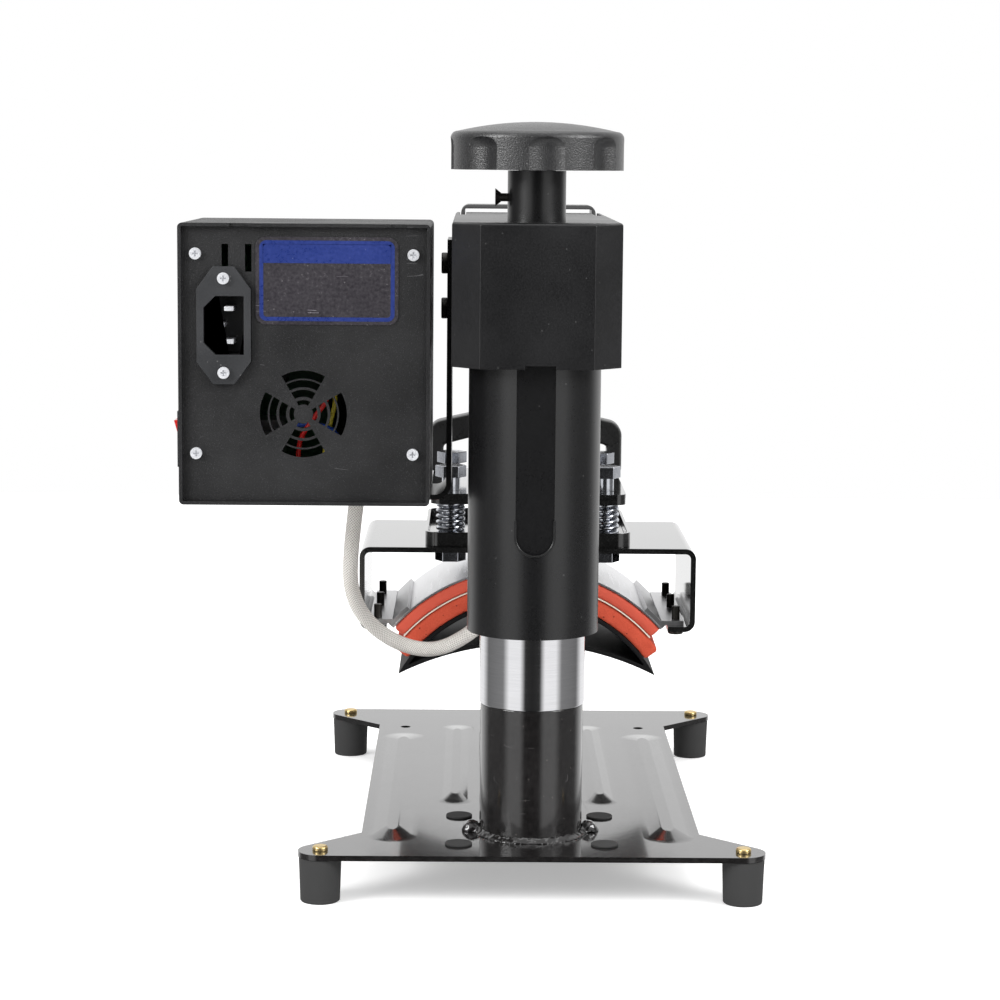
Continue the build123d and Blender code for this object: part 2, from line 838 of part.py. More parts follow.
with BuildPart() as toggle_links:
    for offset in (-link_end, link_start):
        toggle_plate(offset, link_plate, knee_height, link_radius, ram_pin_height, link_radius)
    rod_x(press_y, knee_height, pin_radius + sliding_gap, -link_end, link_end, Mode.SUBTRACT)
    rod_x(press_y, ram_pin_height, pin_radius + fit_gap, -link_end, link_end, Mode.SUBTRACT)
save(toggle_links, "toggle_links")

with BuildPart() as ram_pin:
    rod_x(press_y, ram_pin_height, pin_radius, -ear_end, ear_end)
save(ram_pin, "ram_pin")

# Ram: its two ears are slotted, because the pin stays behind the ram halfway up
slot_half = pin_radius + toggle_gap / 3
ear_y = (press_y - yoke_half_length, press_y + yoke_half_length)
with BuildPart() as ram:
    block((-ear_end, ear_end), ear_y, (yoke_low, yoke_top))
    block((-ear_start, ear_start), ear_y, (yoke_floor, yoke_top), Mode.SUBTRACT)
    with BuildSketch(along(-ear_end)) as pin_slot:
        with Locations((press_y, (slot_low + ram_pin_height) / 2)):
            SlotCenterToCenter(slot_run, 2 * slot_half, rotation=90)
    extrude(pin_slot.sketch, amount=2 * ear_end, mode=Mode.SUBTRACT)
    rod_z(0, press_y, ram_radius, press_top, yoke_low)
    rod_z(0, press_y, ram_flange_radius, press_top, press_top + ram_flange)
save(ram, "ram")

# Press plate and the handle across its far end
press_low = press_top - press_plate_thickness
bolt_spots = [(side * bolt_x, y) for side in (-1, 1) for y in bolt_spots_y]
with BuildPart() as press_plate:
    block((-press_half_width, press_half_width), (press_start, press_end), (press_low, press_top))
    fillet(press_plate.edges().filter_by(Axis.Z), press_plate_thickness)
    for x, y in bolt_spots:
        rod_z(x, y, bolt_radius + bolt_hole_gap, press_low, press_top, Mode.SUBTRACT)
save(press_plate, "press_plate")

handle_inside = handle_half_width - handle_leg
with BuildPart() as grab_handle:
    with BuildSketch(across(press_end)):
        with BuildLine():
            Polyline(
                (-handle_half_width, press_top),
                (-handle_half_width, handle_corner_height),
                (0, handle_crown_height),
                (handle_half_width, handle_corner_height),
                (handle_half_width, press_top),
                (handle_inside, press_top),
                (handle_inside, handle_corner_height - handle_bar),
                (0, handle_crown_height - handle_bar),
                (-handle_inside, handle_corner_height - handle_bar),
                (-handle_inside, press_top),
                close=True,
            )
        make_face()
    extrude(amount=handle_depth)
    corner_edges = grab_handle.edges().filter_by(Axis.Y).group_by(Axis.Z)
    fillet(corner_edges[-1] + corner_edges[-2], handle_leg)
save(grab_handle, "grab_handle")

# Heater bracket: an inverted U of sheet with lips turned inwards
lip_edge = bracket_half_width - bracket_lip
lip_top = bracket_low + bracket_sheet
bracket_under = bracket_top - bracket_sheet
clamp_screw_spots = [(side * clamp_screw_x, y) for side in (-1, 1) for y in clamp_screw_spots_y]
with BuildPart() as heater_frame:
    block((-bracket_half_width, bracket_half_width), (bracket_start, bracket_end),
          (bracket_low, bracket_top))
    fillet(heater_frame.edges().filter_by(Axis.Y), bracket_bend)
    with BuildSketch(across(bracket_end)) as inside:
        with Locations((0, (bracket_low + bracket_top) / 2)):
            RectangleRounded(
                2 * (bracket_half_width - bracket_sheet),
                bracket_top - bracket_low - 2 * bracket_sheet,
                bracket_bend - bracket_sheet,
            )
        with Locations((0, bracket_low)):
            Rectangle(2 * lip_edge, 3 * bracket_sheet)
    extrude(inside.sketch, amount=bracket_end - bracket_start, mode=Mode.SUBTRACT)
    for x, y in bolt_spots:
        rod_z(x, y, bolt_radius, bracket_under, bracket_top, Mode.SUBTRACT)
    for x, y in clamp_screw_spots:
        rod_z(x, y, clamp_screw_radius, bracket_low, lip_top, Mode.SUBTRACT)
save(heater_frame, "heater_frame")

# Tray that the four springs stand in
spring_low = bracket_top + tray_floor
with BuildPart() as spring_tray:
    block((-tray_half_width, tray_half_width), (tray_start, tray_end),
          (bracket_top, bracket_top + tray_height))
    fillet(spring_tray.edges().filter_by(Axis.Z), tray_height)
    with BuildSketch(level(spring_low)) as tray_inside:
        with Locations((0, (tray_start + tray_end) / 2)):
            RectangleRounded(
                2 * (tray_half_width - tray_wall),
                tray_end - tray_start - 2 * tray_wall,
                tray_height - tray_wall,
            )
    extrude(tray_inside.sketch, amount=tray_height, mode=Mode.SUBTRACT)
    for x, y in bolt_spots:
        rod_z(x, y, bolt_radius, bracket_top, spring_low, Mode.SUBTRACT)
save(spring_tray, "spring_tray")

with BuildPart() as spring_bolts:
    for x, y in bolt_spots:
        hexagon_z(x, y, bolt_head_across, bracket_under - nut_height, bracket_under)
        rod_z(x, y, bolt_radius, bracket_under, bolt_head_bottom)
        hexagon_z(x, y, bolt_head_across, bolt_head_bottom, bolt_head_bottom + bolt_head_height)
save(spring_bolts, "spring_bolts")

# Pressure springs: each one wire on a rising circle, in quarter turns of two arcs each
coil_radius = spring_outer_radius - spring_wire / 2
wire_low = spring_low + spring_wire / 2
wire_rise = press_low - spring_low - spring_wire
quarter_turns = 4 * spring_turns


def helix_point(x, y, step):
    """Point on a spring's centre line after a number of quarter turns."""
    angle = step * pi / 2
    return Vector(
        column_x + x + coil_radius * cos(angle),
        column_y + y + coil_radius * sin(angle),
        wire_low + wire_rise * step / quarter_turns,
    )


def helix_tangent(step):
    """Direction of the wire after a number of quarter turns."""
    angle = step * pi / 2
    climb = wire_rise / quarter_turns / (pi / 2)
    return Vector(-coil_radius * sin(angle), coil_radius * cos(angle), climb).normalized()


def biarc(start, start_tangent, end, end_tangent):
    """Two arcs that meet in one tangent, from one point and direction to another."""
    chord = end - start
    both = start_tangent + end_tangent
    spread = 2 * (1 - start_tangent.dot(end_tangent))
    along_both = chord.dot(both)
    reach = (-along_both + sqrt(along_both**2 + 2 * spread * chord.dot(chord) / 2)) / spread
    middle = (start + end + (start_tangent - end_tangent) * reach) * 0.5
    middle_tangent = (end - end_tangent * reach) - (start + start_tangent * reach)
    TangentArc(start, middle, tangent=start_tangent)
    TangentArc(middle, end, tangent=middle_tangent.normalized())


with BuildPart() as pressure_springs:
    for x, y in bolt_spots:
        with BuildLine() as wire_path:
            for step in range(quarter_turns):
                biarc(
                    helix_point(x, y, step),
                    helix_tangent(step),
                    helix_point(x, y, step + 1),
                    helix_tangent(step + 1),
                )
        with BuildSketch(Plane(helix_point(x, y, 0), z_dir=helix_tangent(0))) as wire_section:
            Circle(spring_wire / 2)
        sweep(wire_section.sketch, path=wire_path.wires()[0])
save(pressure_springs, "pressure_springs")

steps_a_turn = 40
path_steps = steps_a_turn * spring_turns
path_points = [wire_path.wires()[0].position_at(step / path_steps) for step in range(path_steps + 1)]
nearest = min(
    (path_points[i] - path_points[j]).length
    for i in range(path_steps)
    for j in range(i + steps_a_turn // 2, path_steps + 1)
)
print("least gap in a spring", round(nearest - spring_wire, 3))

# Heater: the bright shell, the soft mat in it and the strips that clamp the shell's edges
with BuildPart() as heater_shell:
    arch(shell_radius, shell_radius - shell_sheet, heater_half_angle)
save(heater_shell, "heater_shell")

with BuildPart() as heater_mat:
    arch(shell_radius - shell_sheet - fit_gap, mat_inner, heater_half_angle)
save(heater_mat, "heater_mat")

clamp_hold_angle = heater_half_angle - 8
clamp_outer = shell_radius + fit_gap + clamp_sheet
with BuildPart() as edge_clamps:
    for side in (-1, 1):
        low_angle = radians(heater_half_angle)
        high_angle = radians(clamp_hold_angle)
        reach = 2 * clamp_outer
        with BuildSketch(across(heater_end)) as hold:
            with Locations((0, arc_height)):
                Circle(clamp_outer)
                Circle(shell_radius + fit_gap, mode=Mode.SUBTRACT)
            with BuildLine():
                Polyline(
                    (0, arc_height),
                    (side * reach * sin(low_angle), arc_height + reach * cos(low_angle)),
                    (side * reach * sin(high_angle), arc_height + reach * cos(high_angle)),
                    close=True,
                )
            make_face(mode=Mode.INTERSECT)
        extrude(hold.sketch, amount=heater_end - heater_start)
        strip_inside = sqrt((shell_radius + clamp_sheet / 2) ** 2 - (lip_top - arc_height) ** 2)
        strip_x = sorted((side * strip_inside, side * (bracket_half_width - bracket_bend)))
        block(strip_x, (heater_start, heater_end), (lip_top, lip_top + clamp_sheet))
    for x, y in clamp_screw_spots:
        rod_z(x, y, clamp_screw_radius, lip_top, lip_top + clamp_sheet, Mode.SUBTRACT)
save(edge_clamps, "edge_clamps")

with BuildPart() as clamp_screws:
    for x, y in clamp_screw_spots:
        rod_z(x, y, clamp_screw_radius, bracket_low, clamp_screw_top)
        rod_z(x, y, clamp_head_radius, bracket_low - clamp_head_height, bracket_low)
save(clamp_screws, "clamp_screws")

# Heater cable and its gland on the heater's near end
route = [Vector(column_x + x, column_y + y, z) for x, y, z in cable_route]
bend_radii = []
for before, corner, after in zip(route, route[1:], route[2:]):
    turn = radians((corner - before).get_angle(after - corner))
    shorter = min((corner - before).length, (after - corner).length)
    bend_radii.append(0.45 * shorter / tan(turn / 2))
print("cable bend radii", [round(radius, 1) for radius in bend_radii])

with BuildPart() as heater_cable:
    with BuildLine() as cable_path:
        FilletPolyline(*route, radius=bend_radii)
    with BuildSketch(Plane(route[0], z_dir=route[1] - route[0])):
        Circle(cable_radius)
    sweep()
save(heater_cable, "heater_cable")
cable_length = cable_path.wires()[0].length
print("cable length", round(cable_length, 1), "volume", round(heater_cable.part.volume, 1),
      "section by length", round(pi * cable_radius**2 * cable_length, 1))

gland_start = cable_route[-1]
with BuildPart() as cable_gland:
    with BuildSketch(Plane(route[-1], z_dir=route[-1] - route[-2])):
        Circle(gland_radius)
    extrude(amount=gland_length)
    block((-gland_foot_half_width, gland_foot_half_width), (gland_start[1], heater_start),
          (gland_foot_low, gland_foot_top))
save(cable_gland, "cable_gland")

# Control box: a sheet sleeve closed by a back plate and a front panel on corner tabs
box_x = (box_left + box_sheet, box_right - box_sheet)
box_z = (box_bottom + box_sheet, box_top - box_sheet)
plate_face = box_back + back_plate_recess
plate_rear = plate_face + panel_sheet
panel_face = box_front - front_recess
panel_rear = panel_face - panel_sheet
box_screw_spots = [
    (x, z)
    for x in (box_left + screw_side_inset, box_right - screw_side_inset)
    for z in (box_top - screw_top_inset, box_bottom + screw_low_inset)
]
notch_insets = (22, 90)
notch_width = 7
pivot_x = box_left + rocker_pivot_depth
cavity_half_height = rocker_half_height + rocker_end_gap
cavity_half_width = rocker_half_width + rocker_gap
switch_body_half_height = cavity_half_height + switch_wall
switch_body_half_width = cavity_half_width + switch_wall
flange_screw_spots = [(flange_screw_x, bracket_middle + side * flange_screw_spacing / 2) for side in (-1, 1)]
with BuildPart() as control_shell:
    block((box_left, box_right), (box_back, box_front), (box_bottom, box_top))
    fillet(control_shell.edges().filter_by(Axis.Y), box_corner)
    block(box_x, (box_back, box_front), box_z, Mode.SUBTRACT)
    for x, z in box_screw_spots:
        if x < (box_left + box_right) / 2:
            tab_x = (box_x[0], box_x[0] + tab_size)
        else:
            tab_x = (box_x[1] - tab_size, box_x[1])
        tab_z = (z - tab_size / 2, z + tab_size / 2)
        block(tab_x, (plate_rear, plate_rear + box_sheet), tab_z)
        block(tab_x, (panel_rear - box_sheet, panel_rear), tab_z)
        rod_y(x, z, small_screw_radius, plate_rear, plate_rear + box_sheet, Mode.SUBTRACT)
    for inset in notch_insets:
        x = box_left + inset
        block((x, x + notch_width), (box_back, box_back + box_sheet), (box_z[1], box_top), Mode.SUBTRACT)
    block((box_left, box_x[0]), (-switch_body_half_width, switch_body_half_width),
          (switch_height - switch_body_half_height, switch_height + switch_body_half_height), Mode.SUBTRACT)
    with BuildSketch(level(box_bottom)) as floor_slot:
        with Locations(cable_slot_centre):
            SlotOverall(*cable_slot_size)
    extrude(floor_slot.sketch, amount=box_sheet, mode=Mode.SUBTRACT)
    for x, y in flange_screw_spots:
        rod_z(x, y, flange_screw_radius, box_bottom, box_z[0], Mode.SUBTRACT)
save(control_shell, "control_shell")

# Back plate with the inlet's hole, two slots and the round grille
inlet_x = box_left + inlet_inset
inlet_z = box_top - inlet_drop
grille_x = box_left + grille_inset
grille_z = box_top - grille_drop
inlet_screw_spots = [(inlet_x, inlet_z + side * inlet_screw_spacing / 2) for side in (-1, 1)]
grille_sectors = 4
with BuildPart() as control_back_plate:
    block((box_x[0] + fit_gap, box_x[1] - fit_gap), (plate_face, plate_rear),
          (box_z[0] + fit_gap, box_z[1] - fit_gap))
    block((inlet_x - inlet_body_width / 2, inlet_x + inlet_body_width / 2), (plate_face, plate_rear),
          (inlet_z - inlet_body_height / 2, inlet_z + inlet_body_height / 2), Mode.SUBTRACT)
    for inset in slot_insets:
        slot_top = box_top - slot_drop
        block((box_left + inset, box_left + inset + slot_width), (plate_face, plate_rear),
              (slot_top - slot_height, slot_top), Mode.SUBTRACT)
    for inner, outer in grille_rings:
        for sector in range(grille_sectors):
            middle = radians(sector * 360 / grille_sectors)
            half = radians(grille_half_angle)
            with BuildSketch(across(plate_rear)) as arc_slot:
                with Locations((grille_x, grille_z)):
                    Circle(outer)
                    Circle(inner, mode=Mode.SUBTRACT)
                reach = 2 * outer
                with BuildLine():
                    Polyline(
                        (grille_x, grille_z),
                        (grille_x + reach * cos(middle - half), grille_z + reach * sin(middle - half)),
                        (grille_x + reach * cos(middle + half), grille_z + reach * sin(middle + half)),
                        close=True,
                    )
                make_face(mode=Mode.INTERSECT)
            extrude(arc_slot.sketch, amount=panel_sheet, mode=Mode.SUBTRACT)
    for x, z in box_screw_spots + inlet_screw_spots:
        rod_y(x, z, small_screw_radius, plate_face, plate_rear, Mode.SUBTRACT)
save(control_back_plate, "control_back_plate")

cross_recess = 0.7


def pan_screws(spots, face, length):
    """Cross-headed screws driven along Y into a face that looks back."""
    for x, z in spots:
        rod_y(x, z, small_screw_radius, face, face + length)
        rod_y(x, z, small_head_radius, face - small_head_height, face)
        for wide, tall in ((small_head_radius, cross_recess), (cross_recess, small_head_radius)):
            block((x - wide / 2, x + wide / 2), (face - small_head_height, face - small_head_height / 2),
                  (z - tall / 2, z + tall / 2), Mode.SUBTRACT)


with BuildPart() as back_screws:
    pan_screws(box_screw_spots, plate_face, small_screw_length)
save(back_screws, "back_screws")

# Mains inlet: flange, body, socket with two corners cut, and three flat pins
inlet_face = plate_face - inlet_flange_thickness
socket_floor = inlet_face + socket_depth
flange_half_width = inlet_flange_width / 2
flange_half_height = inlet_flange_height / 2
flange_tip_half = 4.5
with BuildPart() as mains_inlet:
    with BuildSketch(across(plate_face)) as flange:
        with BuildLine():
            Polyline(
                (inlet_x - flange_half_width, inlet_z - inlet_body_height / 2),
                (inlet_x - flange_tip_half, inlet_z - flange_half_height),
                (inlet_x + flange_tip_half, inlet_z - flange_half_height),
                (inlet_x + flange_half_width, inlet_z - inlet_body_height / 2),
                (inlet_x + flange_half_width, inlet_z + inlet_body_height / 2),
                (inlet_x + flange_tip_half, inlet_z + flange_half_height),
                (inlet_x - flange_tip_half, inlet_z + flange_half_height),
                (inlet_x - flange_half_width, inlet_z + inlet_body_height / 2),
                close=True,
            )
        make_face()
    extrude(flange.sketch, amount=inlet_flange_thickness)
    block((inlet_x - inlet_body_width / 2 + fit_gap, inlet_x + inlet_body_width / 2 - fit_gap),
          (plate_face, plate_face + inlet_body_depth),
          (inlet_z - inlet_body_height / 2 + fit_gap, inlet_z + inlet_body_height / 2 - fit_gap))
    socket_left = inlet_x - socket_width / 2
    with BuildSketch(across(socket_floor)) as socket:
        with BuildLine():
            Polyline(
                (socket_left + socket_corner, inlet_z - socket_height / 2),
                (socket_left + socket_width, inlet_z - socket_height / 2),
                (socket_left + socket_width, inlet_z + socket_height / 2),
                (socket_left + socket_corner, inlet_z + socket_height / 2),
                (socket_left, inlet_z + socket_height / 2 - socket_corner),
                (socket_left, inlet_z - socket_height / 2 + socket_corner),
                close=True,
            )
        make_face()
    extrude(socket.sketch, amount=socket_depth, mode=Mode.SUBTRACT)
    live_pin_rise = 7
    inlet_pin_spots = ((2, -live_pin_rise), (2, live_pin_rise), (-2, 0))
    inlet_pin_limits = [
        ((inlet_x + x - pin_height / 2, inlet_x + x + pin_height / 2),
         (inlet_z + z - pin_width / 2, inlet_z + z + pin_width / 2))
        for x, z in inlet_pin_spots
    ]
    inlet_rear = plate_face + inlet_body_depth
    for pin_x, pin_z in inlet_pin_limits:
        block(pin_x, (socket_floor, inlet_rear), pin_z, Mode.SUBTRACT)
    for x, z in inlet_screw_spots:
        rod_y(x, z, small_screw_radius, inlet_face, plate_face, Mode.SUBTRACT)
save(mains_inlet, "mains_inlet")

with BuildPart() as inlet_pins:
    for pin_x, pin_z in inlet_pin_limits:
        block(pin_x, (socket_floor - pin_length, inlet_rear + pin_height), pin_z)
save(inlet_pins, "inlet_pins")

with BuildPart() as inlet_screws:
    pan_screws(inlet_screw_spots, inlet_face, inlet_flange_thickness + small_screw_length)
save(inlet_screws, "inlet_screws")

with BuildPart() as rating_plate:
    with BuildSketch(across(plate_face)):
        with Locations((box_left + rating_inset + rating_width / 2,
                        box_top - rating_drop - rating_height / 2)):
            RectangleRounded(rating_width, rating_height, rating_corner)
    extrude(amount=rating_thickness)
save(rating_plate, "rating_plate")

# Power switch: a frame in the box's left wall and a rocker that rests tipped to one side
frame_face = box_left - switch_frame_thickness
body_rear = box_left + switch_body_depth
cavity_rear = body_rear - switch_wall
trunnion_radius = 1.5
with BuildPart() as switch_frame:
    block((frame_face, box_left), (-switch_frame_wide / 2, switch_frame_wide / 2),
          (switch_height - switch_frame_tall / 2, switch_height + switch_frame_tall / 2))
    block((box_left, body_rear), (-switch_body_half_width + fit_gap, switch_body_half_width - fit_gap),
          (switch_height - switch_body_half_height + fit_gap,
           switch_height + switch_body_half_height - fit_gap))
    block((frame_face, cavity_rear), (-cavity_half_width, cavity_half_width),
          (switch_height - cavity_half_height, switch_height + cavity_half_height), Mode.SUBTRACT)
    rod_y(pivot_x, switch_height, trunnion_radius + sliding_gap, -switch_body_half_width,
          switch_body_half_width, Mode.SUBTRACT)
save(switch_frame, "switch_frame")

rocker_tip = (rocker_pivot_depth + rocker_reach - rocker_half_height * sin(radians(rocker_swing)))
rocker_tip = rocker_tip / cos(radians(rocker_swing))
rocker_hollow = 0.9
rocker_rear = 3
rocker_axis = Axis((column_x + pivot_x, column_y, switch_height), (0, 1, 0))
with BuildPart() as level_rocker:
    with BuildSketch(across(rocker_half_width)):
        with BuildLine():
            Polyline(
                (pivot_x - rocker_tip, switch_height - rocker_half_height),
                (pivot_x - rocker_tip + rocker_hollow, switch_height),
                (pivot_x - rocker_tip, switch_height + rocker_half_height),
                (pivot_x, switch_height + rocker_half_height),
                (pivot_x + rocker_rear, switch_height),
                (pivot_x, switch_height - rocker_half_height),
                close=True,
            )
        make_face()
    extrude(amount=2 * rocker_half_width)
    rod_y(pivot_x, switch_height, trunnion_radius, -switch_body_half_width + rocker_gap,
          switch_body_half_width - rocker_gap)

with BuildPart() as power_rocker:
    add(level_rocker.part.rotate(rocker_axis, -rocker_swing))
save(power_rocker, "power_rocker")

# Bracket that carries the box on the head's left side, and its screws
wall_face = -head_half_width
plate_x = wall_face - arm_bracket_sheet
flange_low = box_bottom - arm_bracket_sheet
with BuildPart() as box_bracket:
    with BuildSketch(across(arm_bracket_end)) as bracket_outline:
        with BuildLine():
            Polyline(
                (wall_face, arm_bracket_top),
                (wall_face, flange_low),
                (arm_bracket_flange_end, flange_low),
                (arm_bracket_flange_end, box_bottom),
                (plate_x, box_bottom),
                (plate_x, arm_bracket_top),
                close=True,
            )
        make_face()
        outer_corner = bracket_outline.vertices().sort_by_distance((wall_face, flange_low, 0))[0]
        fillet(outer_corner, arm_bracket_bend + arm_bracket_sheet)
        inner_corner = bracket_outline.vertices().sort_by_distance((plate_x, box_bottom, 0))[0]
        fillet(inner_corner, arm_bracket_bend)
    extrude(bracket_outline.sketch, amount=arm_bracket_end - arm_bracket_start)
    for height in bracket_screw_heights:
        rod_x(bracket_middle, height, bracket_shank_radius, plate_x, wall_face, Mode.SUBTRACT)
    for x, y in flange_screw_spots:
        rod_z(x, y, flange_screw_radius, flange_low, box_bottom, Mode.SUBTRACT)
save(box_bracket, "box_bracket")

nut_thickness = 3.6
with BuildPart() as bracket_screws:
    for height in bracket_screw_heights:
        rod_x(bracket_middle, height, bracket_head_radius, plate_x - bracket_head_height, plate_x)
        rod_x(bracket_middle, height, bracket_shank_radius, plate_x, wall_face + cover_sheet)
        rod_x(bracket_middle, height, bracket_head_radius - 1, wall_face + cover_sheet,
              wall_face + cover_sheet + nut_thickness)
    for x, y in flange_screw_spots:
        rod_z(x, y, 2 * flange_screw_radius, flange_low - flange_screw_radius, flange_low)
        rod_z(x, y, flange_screw_radius, flange_low, box_z[0])
        rod_z(x, y, 2 * flange_screw_radius, box_z[0], box_z[0] + nut_thickness)
save(bracket_screws, "bracket_screws")

# Front panel with a window, three keys and four standoffs for the circuit board
board_middle = (board_left + board_right) / 2
board_rear = board_y + board_thickness
window_z = box_top - window_drop
key_z = box_top - key_drop
key_spots = [(board_middle + step * key_spacing, key_z) for step in (-1, 0, 1)]
standoff_spots = [
    (x, z)
    for x in (board_left + standoff_inset, board_right - standoff_inset)
    for z in (board_low + standoff_inset, board_high - standoff_drop)
]
with BuildPart() as control_front_panel:
    block((box_x[0] + fit_gap, box_x[1] - fit_gap), (panel_rear, panel_face),
          (box_z[0] + fit_gap, box_z[1] - fit_gap))
    block((board_middle - window_width / 2, board_middle + window_width / 2), (panel_rear, panel_face),
          (window_z - window_height / 2, window_z + window_height / 2), Mode.SUBTRACT)
    for x, z in key_spots:
        rod_y(x, z, key_radius + key_gap, panel_rear, panel_face, Mode.SUBTRACT)
    for x, z in standoff_spots:
        rod_y(x, z, standoff_radius, board_rear, panel_rear)
save(control_front_panel, "control_front_panel")

with BuildPart() as display_window:
    block((board_middle - window_width / 2 + fit_gap, board_middle + window_width / 2 - fit_gap),
          (panel_rear, panel_rear + window_sheet),
          (window_z - window_height / 2 + fit_gap, window_z + window_height / 2 - fit_gap))
save(display_window, "display_window")

contact_height = 3
display_depth = 8
with BuildPart() as circuit_board:
    block((board_left, board_right), (board_y, board_rear), (board_low, board_high))
    for x, z in key_spots:
        block((x - key_radius, x + key_radius), (board_rear, board_rear + contact_height),
              (z - key_radius, z + key_radius))
    display_half_width = window_width / 2 - standoff_inset - standoff_radius
    block((board_middle - display_half_width, board_middle + display_half_width),
          (board_rear, board_rear + display_depth),
          (window_z - window_height / 2, window_z + window_height / 2))
save(circuit_board, "circuit_board")

key_flange = 1.5
key_stem_end = board_rear + contact_height + key_travel + key_gap
for number, (x, z) in enumerate(key_spots, start=1):
    with BuildPart() as key:
        rod_y(x, z, key_radius, panel_rear - key_gap - key_flange, panel_face + key_stand_out)
        rod_y(x, z, key_radius + key_flange, panel_rear - key_gap - key_flange, panel_rear - key_gap)
        rod_y(x, z, key_radius / 2, key_stem_end, panel_rear - key_gap - key_flange)
    save(key, f"panel_key_{number}")

relay_low = 215
relay_x = (board_middle - relay_size[0] / 2, board_middle + relay_size[0] / 2)
with BuildPart() as relay:
    block(relay_x, (board_y - relay_size[1], board_y), (relay_low, relay_low + relay_size[2]))
save(relay, "relay")

transformer_start = 12
transformer_left = -146
core_margin = 6
with BuildPart() as transformer:
    transformer_x = (transformer_left, transformer_left + transformer_size[0])
    transformer_y = (transformer_start, transformer_start + transformer_size[1])
    core_y = (transformer_y[0] + core_margin, transformer_y[1] - core_margin)
    block(transformer_x, core_y, (box_z[0], box_z[0] + transformer_size[2]))
    block((transformer_x[0] + core_margin, transformer_x[1] - core_margin), transformer_y,
          (box_z[0] + core_margin, box_z[0] + transformer_size[2] - core_margin))
save(transformer, "transformer")
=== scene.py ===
"""Looks of a cap heat press: studio, finishes and finely shaped pieces round the fixed frame."""
import json
import logging
import math
from dataclasses import dataclass
from enum import Enum

import bpy
from mathutils import Matrix, Vector

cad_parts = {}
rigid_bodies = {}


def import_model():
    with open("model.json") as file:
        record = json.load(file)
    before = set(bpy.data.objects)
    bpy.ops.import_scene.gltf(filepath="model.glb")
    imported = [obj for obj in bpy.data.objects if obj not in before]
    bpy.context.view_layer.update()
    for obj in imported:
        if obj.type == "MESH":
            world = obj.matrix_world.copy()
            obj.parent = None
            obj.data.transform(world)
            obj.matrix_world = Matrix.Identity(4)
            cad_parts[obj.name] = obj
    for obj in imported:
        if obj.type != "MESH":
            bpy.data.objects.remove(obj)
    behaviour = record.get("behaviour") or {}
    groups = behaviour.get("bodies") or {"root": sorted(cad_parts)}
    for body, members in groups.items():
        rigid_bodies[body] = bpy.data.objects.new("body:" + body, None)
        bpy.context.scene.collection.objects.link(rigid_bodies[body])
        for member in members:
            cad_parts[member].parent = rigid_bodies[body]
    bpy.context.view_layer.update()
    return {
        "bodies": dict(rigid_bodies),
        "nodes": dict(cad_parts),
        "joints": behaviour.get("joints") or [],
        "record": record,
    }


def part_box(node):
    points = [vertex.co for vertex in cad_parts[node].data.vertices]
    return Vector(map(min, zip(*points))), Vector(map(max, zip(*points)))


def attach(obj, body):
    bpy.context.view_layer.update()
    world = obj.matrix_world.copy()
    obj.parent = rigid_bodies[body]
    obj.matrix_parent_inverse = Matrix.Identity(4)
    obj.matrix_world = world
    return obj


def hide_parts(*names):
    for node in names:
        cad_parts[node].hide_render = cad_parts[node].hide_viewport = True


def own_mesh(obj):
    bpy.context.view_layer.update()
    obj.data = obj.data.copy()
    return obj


log = logging.getLogger("heat_press")
MM = 0.001
PHOTO_PIXELS = 1000
MERGE_DISTANCE = 0.001
FLAT_WITHIN = 0.5
WHITE = (1.0, 1.0, 1.0, 1.0)
BLACK = (0.0, 0.0, 0.0, 1.0)
RGB = tuple[float, float, float]
Point = tuple[float, float, float]
Socket = bpy.types.NodeSocket


def select_only(piece: bpy.types.Object) -> None:
    """Deselect everything, then select one piece and make it active.

    Args:
        piece: The piece that is selected.
    """
    bpy.ops.object.select_all(action="DESELECT")
    piece.select_set(True)
    bpy.context.view_layer.objects.active = piece


def edit(piece: bpy.types.Object, chosen: str = "SELECT") -> None:
    """Open a piece in edit mode, on its faces.

    Args:
        piece: The piece that is opened.
        chosen: SELECT to select all of it, DESELECT to select nothing.
    """
    select_only(piece)
    bpy.ops.object.mode_set(mode="EDIT")
    bpy.ops.mesh.select_mode(type="FACE")
    bpy.ops.mesh.select_all(action=chosen)


def leave_edit() -> None:
    """Go back to object mode."""
    bpy.ops.object.mode_set(mode="OBJECT")


def edit_faces(piece: bpy.types.Object, chosen: list[int]) -> None:
    """Open a piece in edit mode with only some faces selected.

    Args:
        piece: The piece that is opened.
        chosen: Indices of the faces.
    """
    edit(piece, "DESELECT")
    leave_edit()
    for index in chosen:
        piece.data.polygons[index].select = True
    bpy.ops.object.mode_set(mode="EDIT")


def finish_with(piece: bpy.types.Object, kind: str, **settings: object) -> None:
    """Add a modifier to a piece and apply it.

    Args:
        piece: The piece that is finished.
        kind: The modifier's type.
        settings: The modifier's own settings.
    """
    select_only(piece)
    modifier = piece.modifiers.new(kind.lower(), kind)
    for name, value in settings.items():
        setattr(modifier, name, value)
    bpy.ops.object.modifier_apply(modifier=modifier.name)


def round_edges(piece: bpy.types.Object, width: float, segments: int = 2, above: float = 40) -> None:
    """Round every sharp edge of a piece and smooth its shading.

    Args:
        piece: The piece that is rounded.
        width: Width of the rounding, in millimetres.
        segments: Steps across the rounding.
        above: Edges that turn by more than this angle, in degrees, are rounded.
    """
    finish_with(piece, "BEVEL", width=width * MM, segments=segments, limit_method="ANGLE",
                angle_limit=math.radians(above), use_clamp_overlap=True)
    smooth(piece)
    finish_with(piece, "WEIGHTED_NORMAL", keep_sharp=True)


def smooth(piece: bpy.types.Object, below: float = 40) -> None:
    """Shade a piece smooth across edges that turn by less than an angle in degrees."""
    select_only(piece)
    bpy.ops.object.shade_smooth_by_angle(angle=math.radians(below))


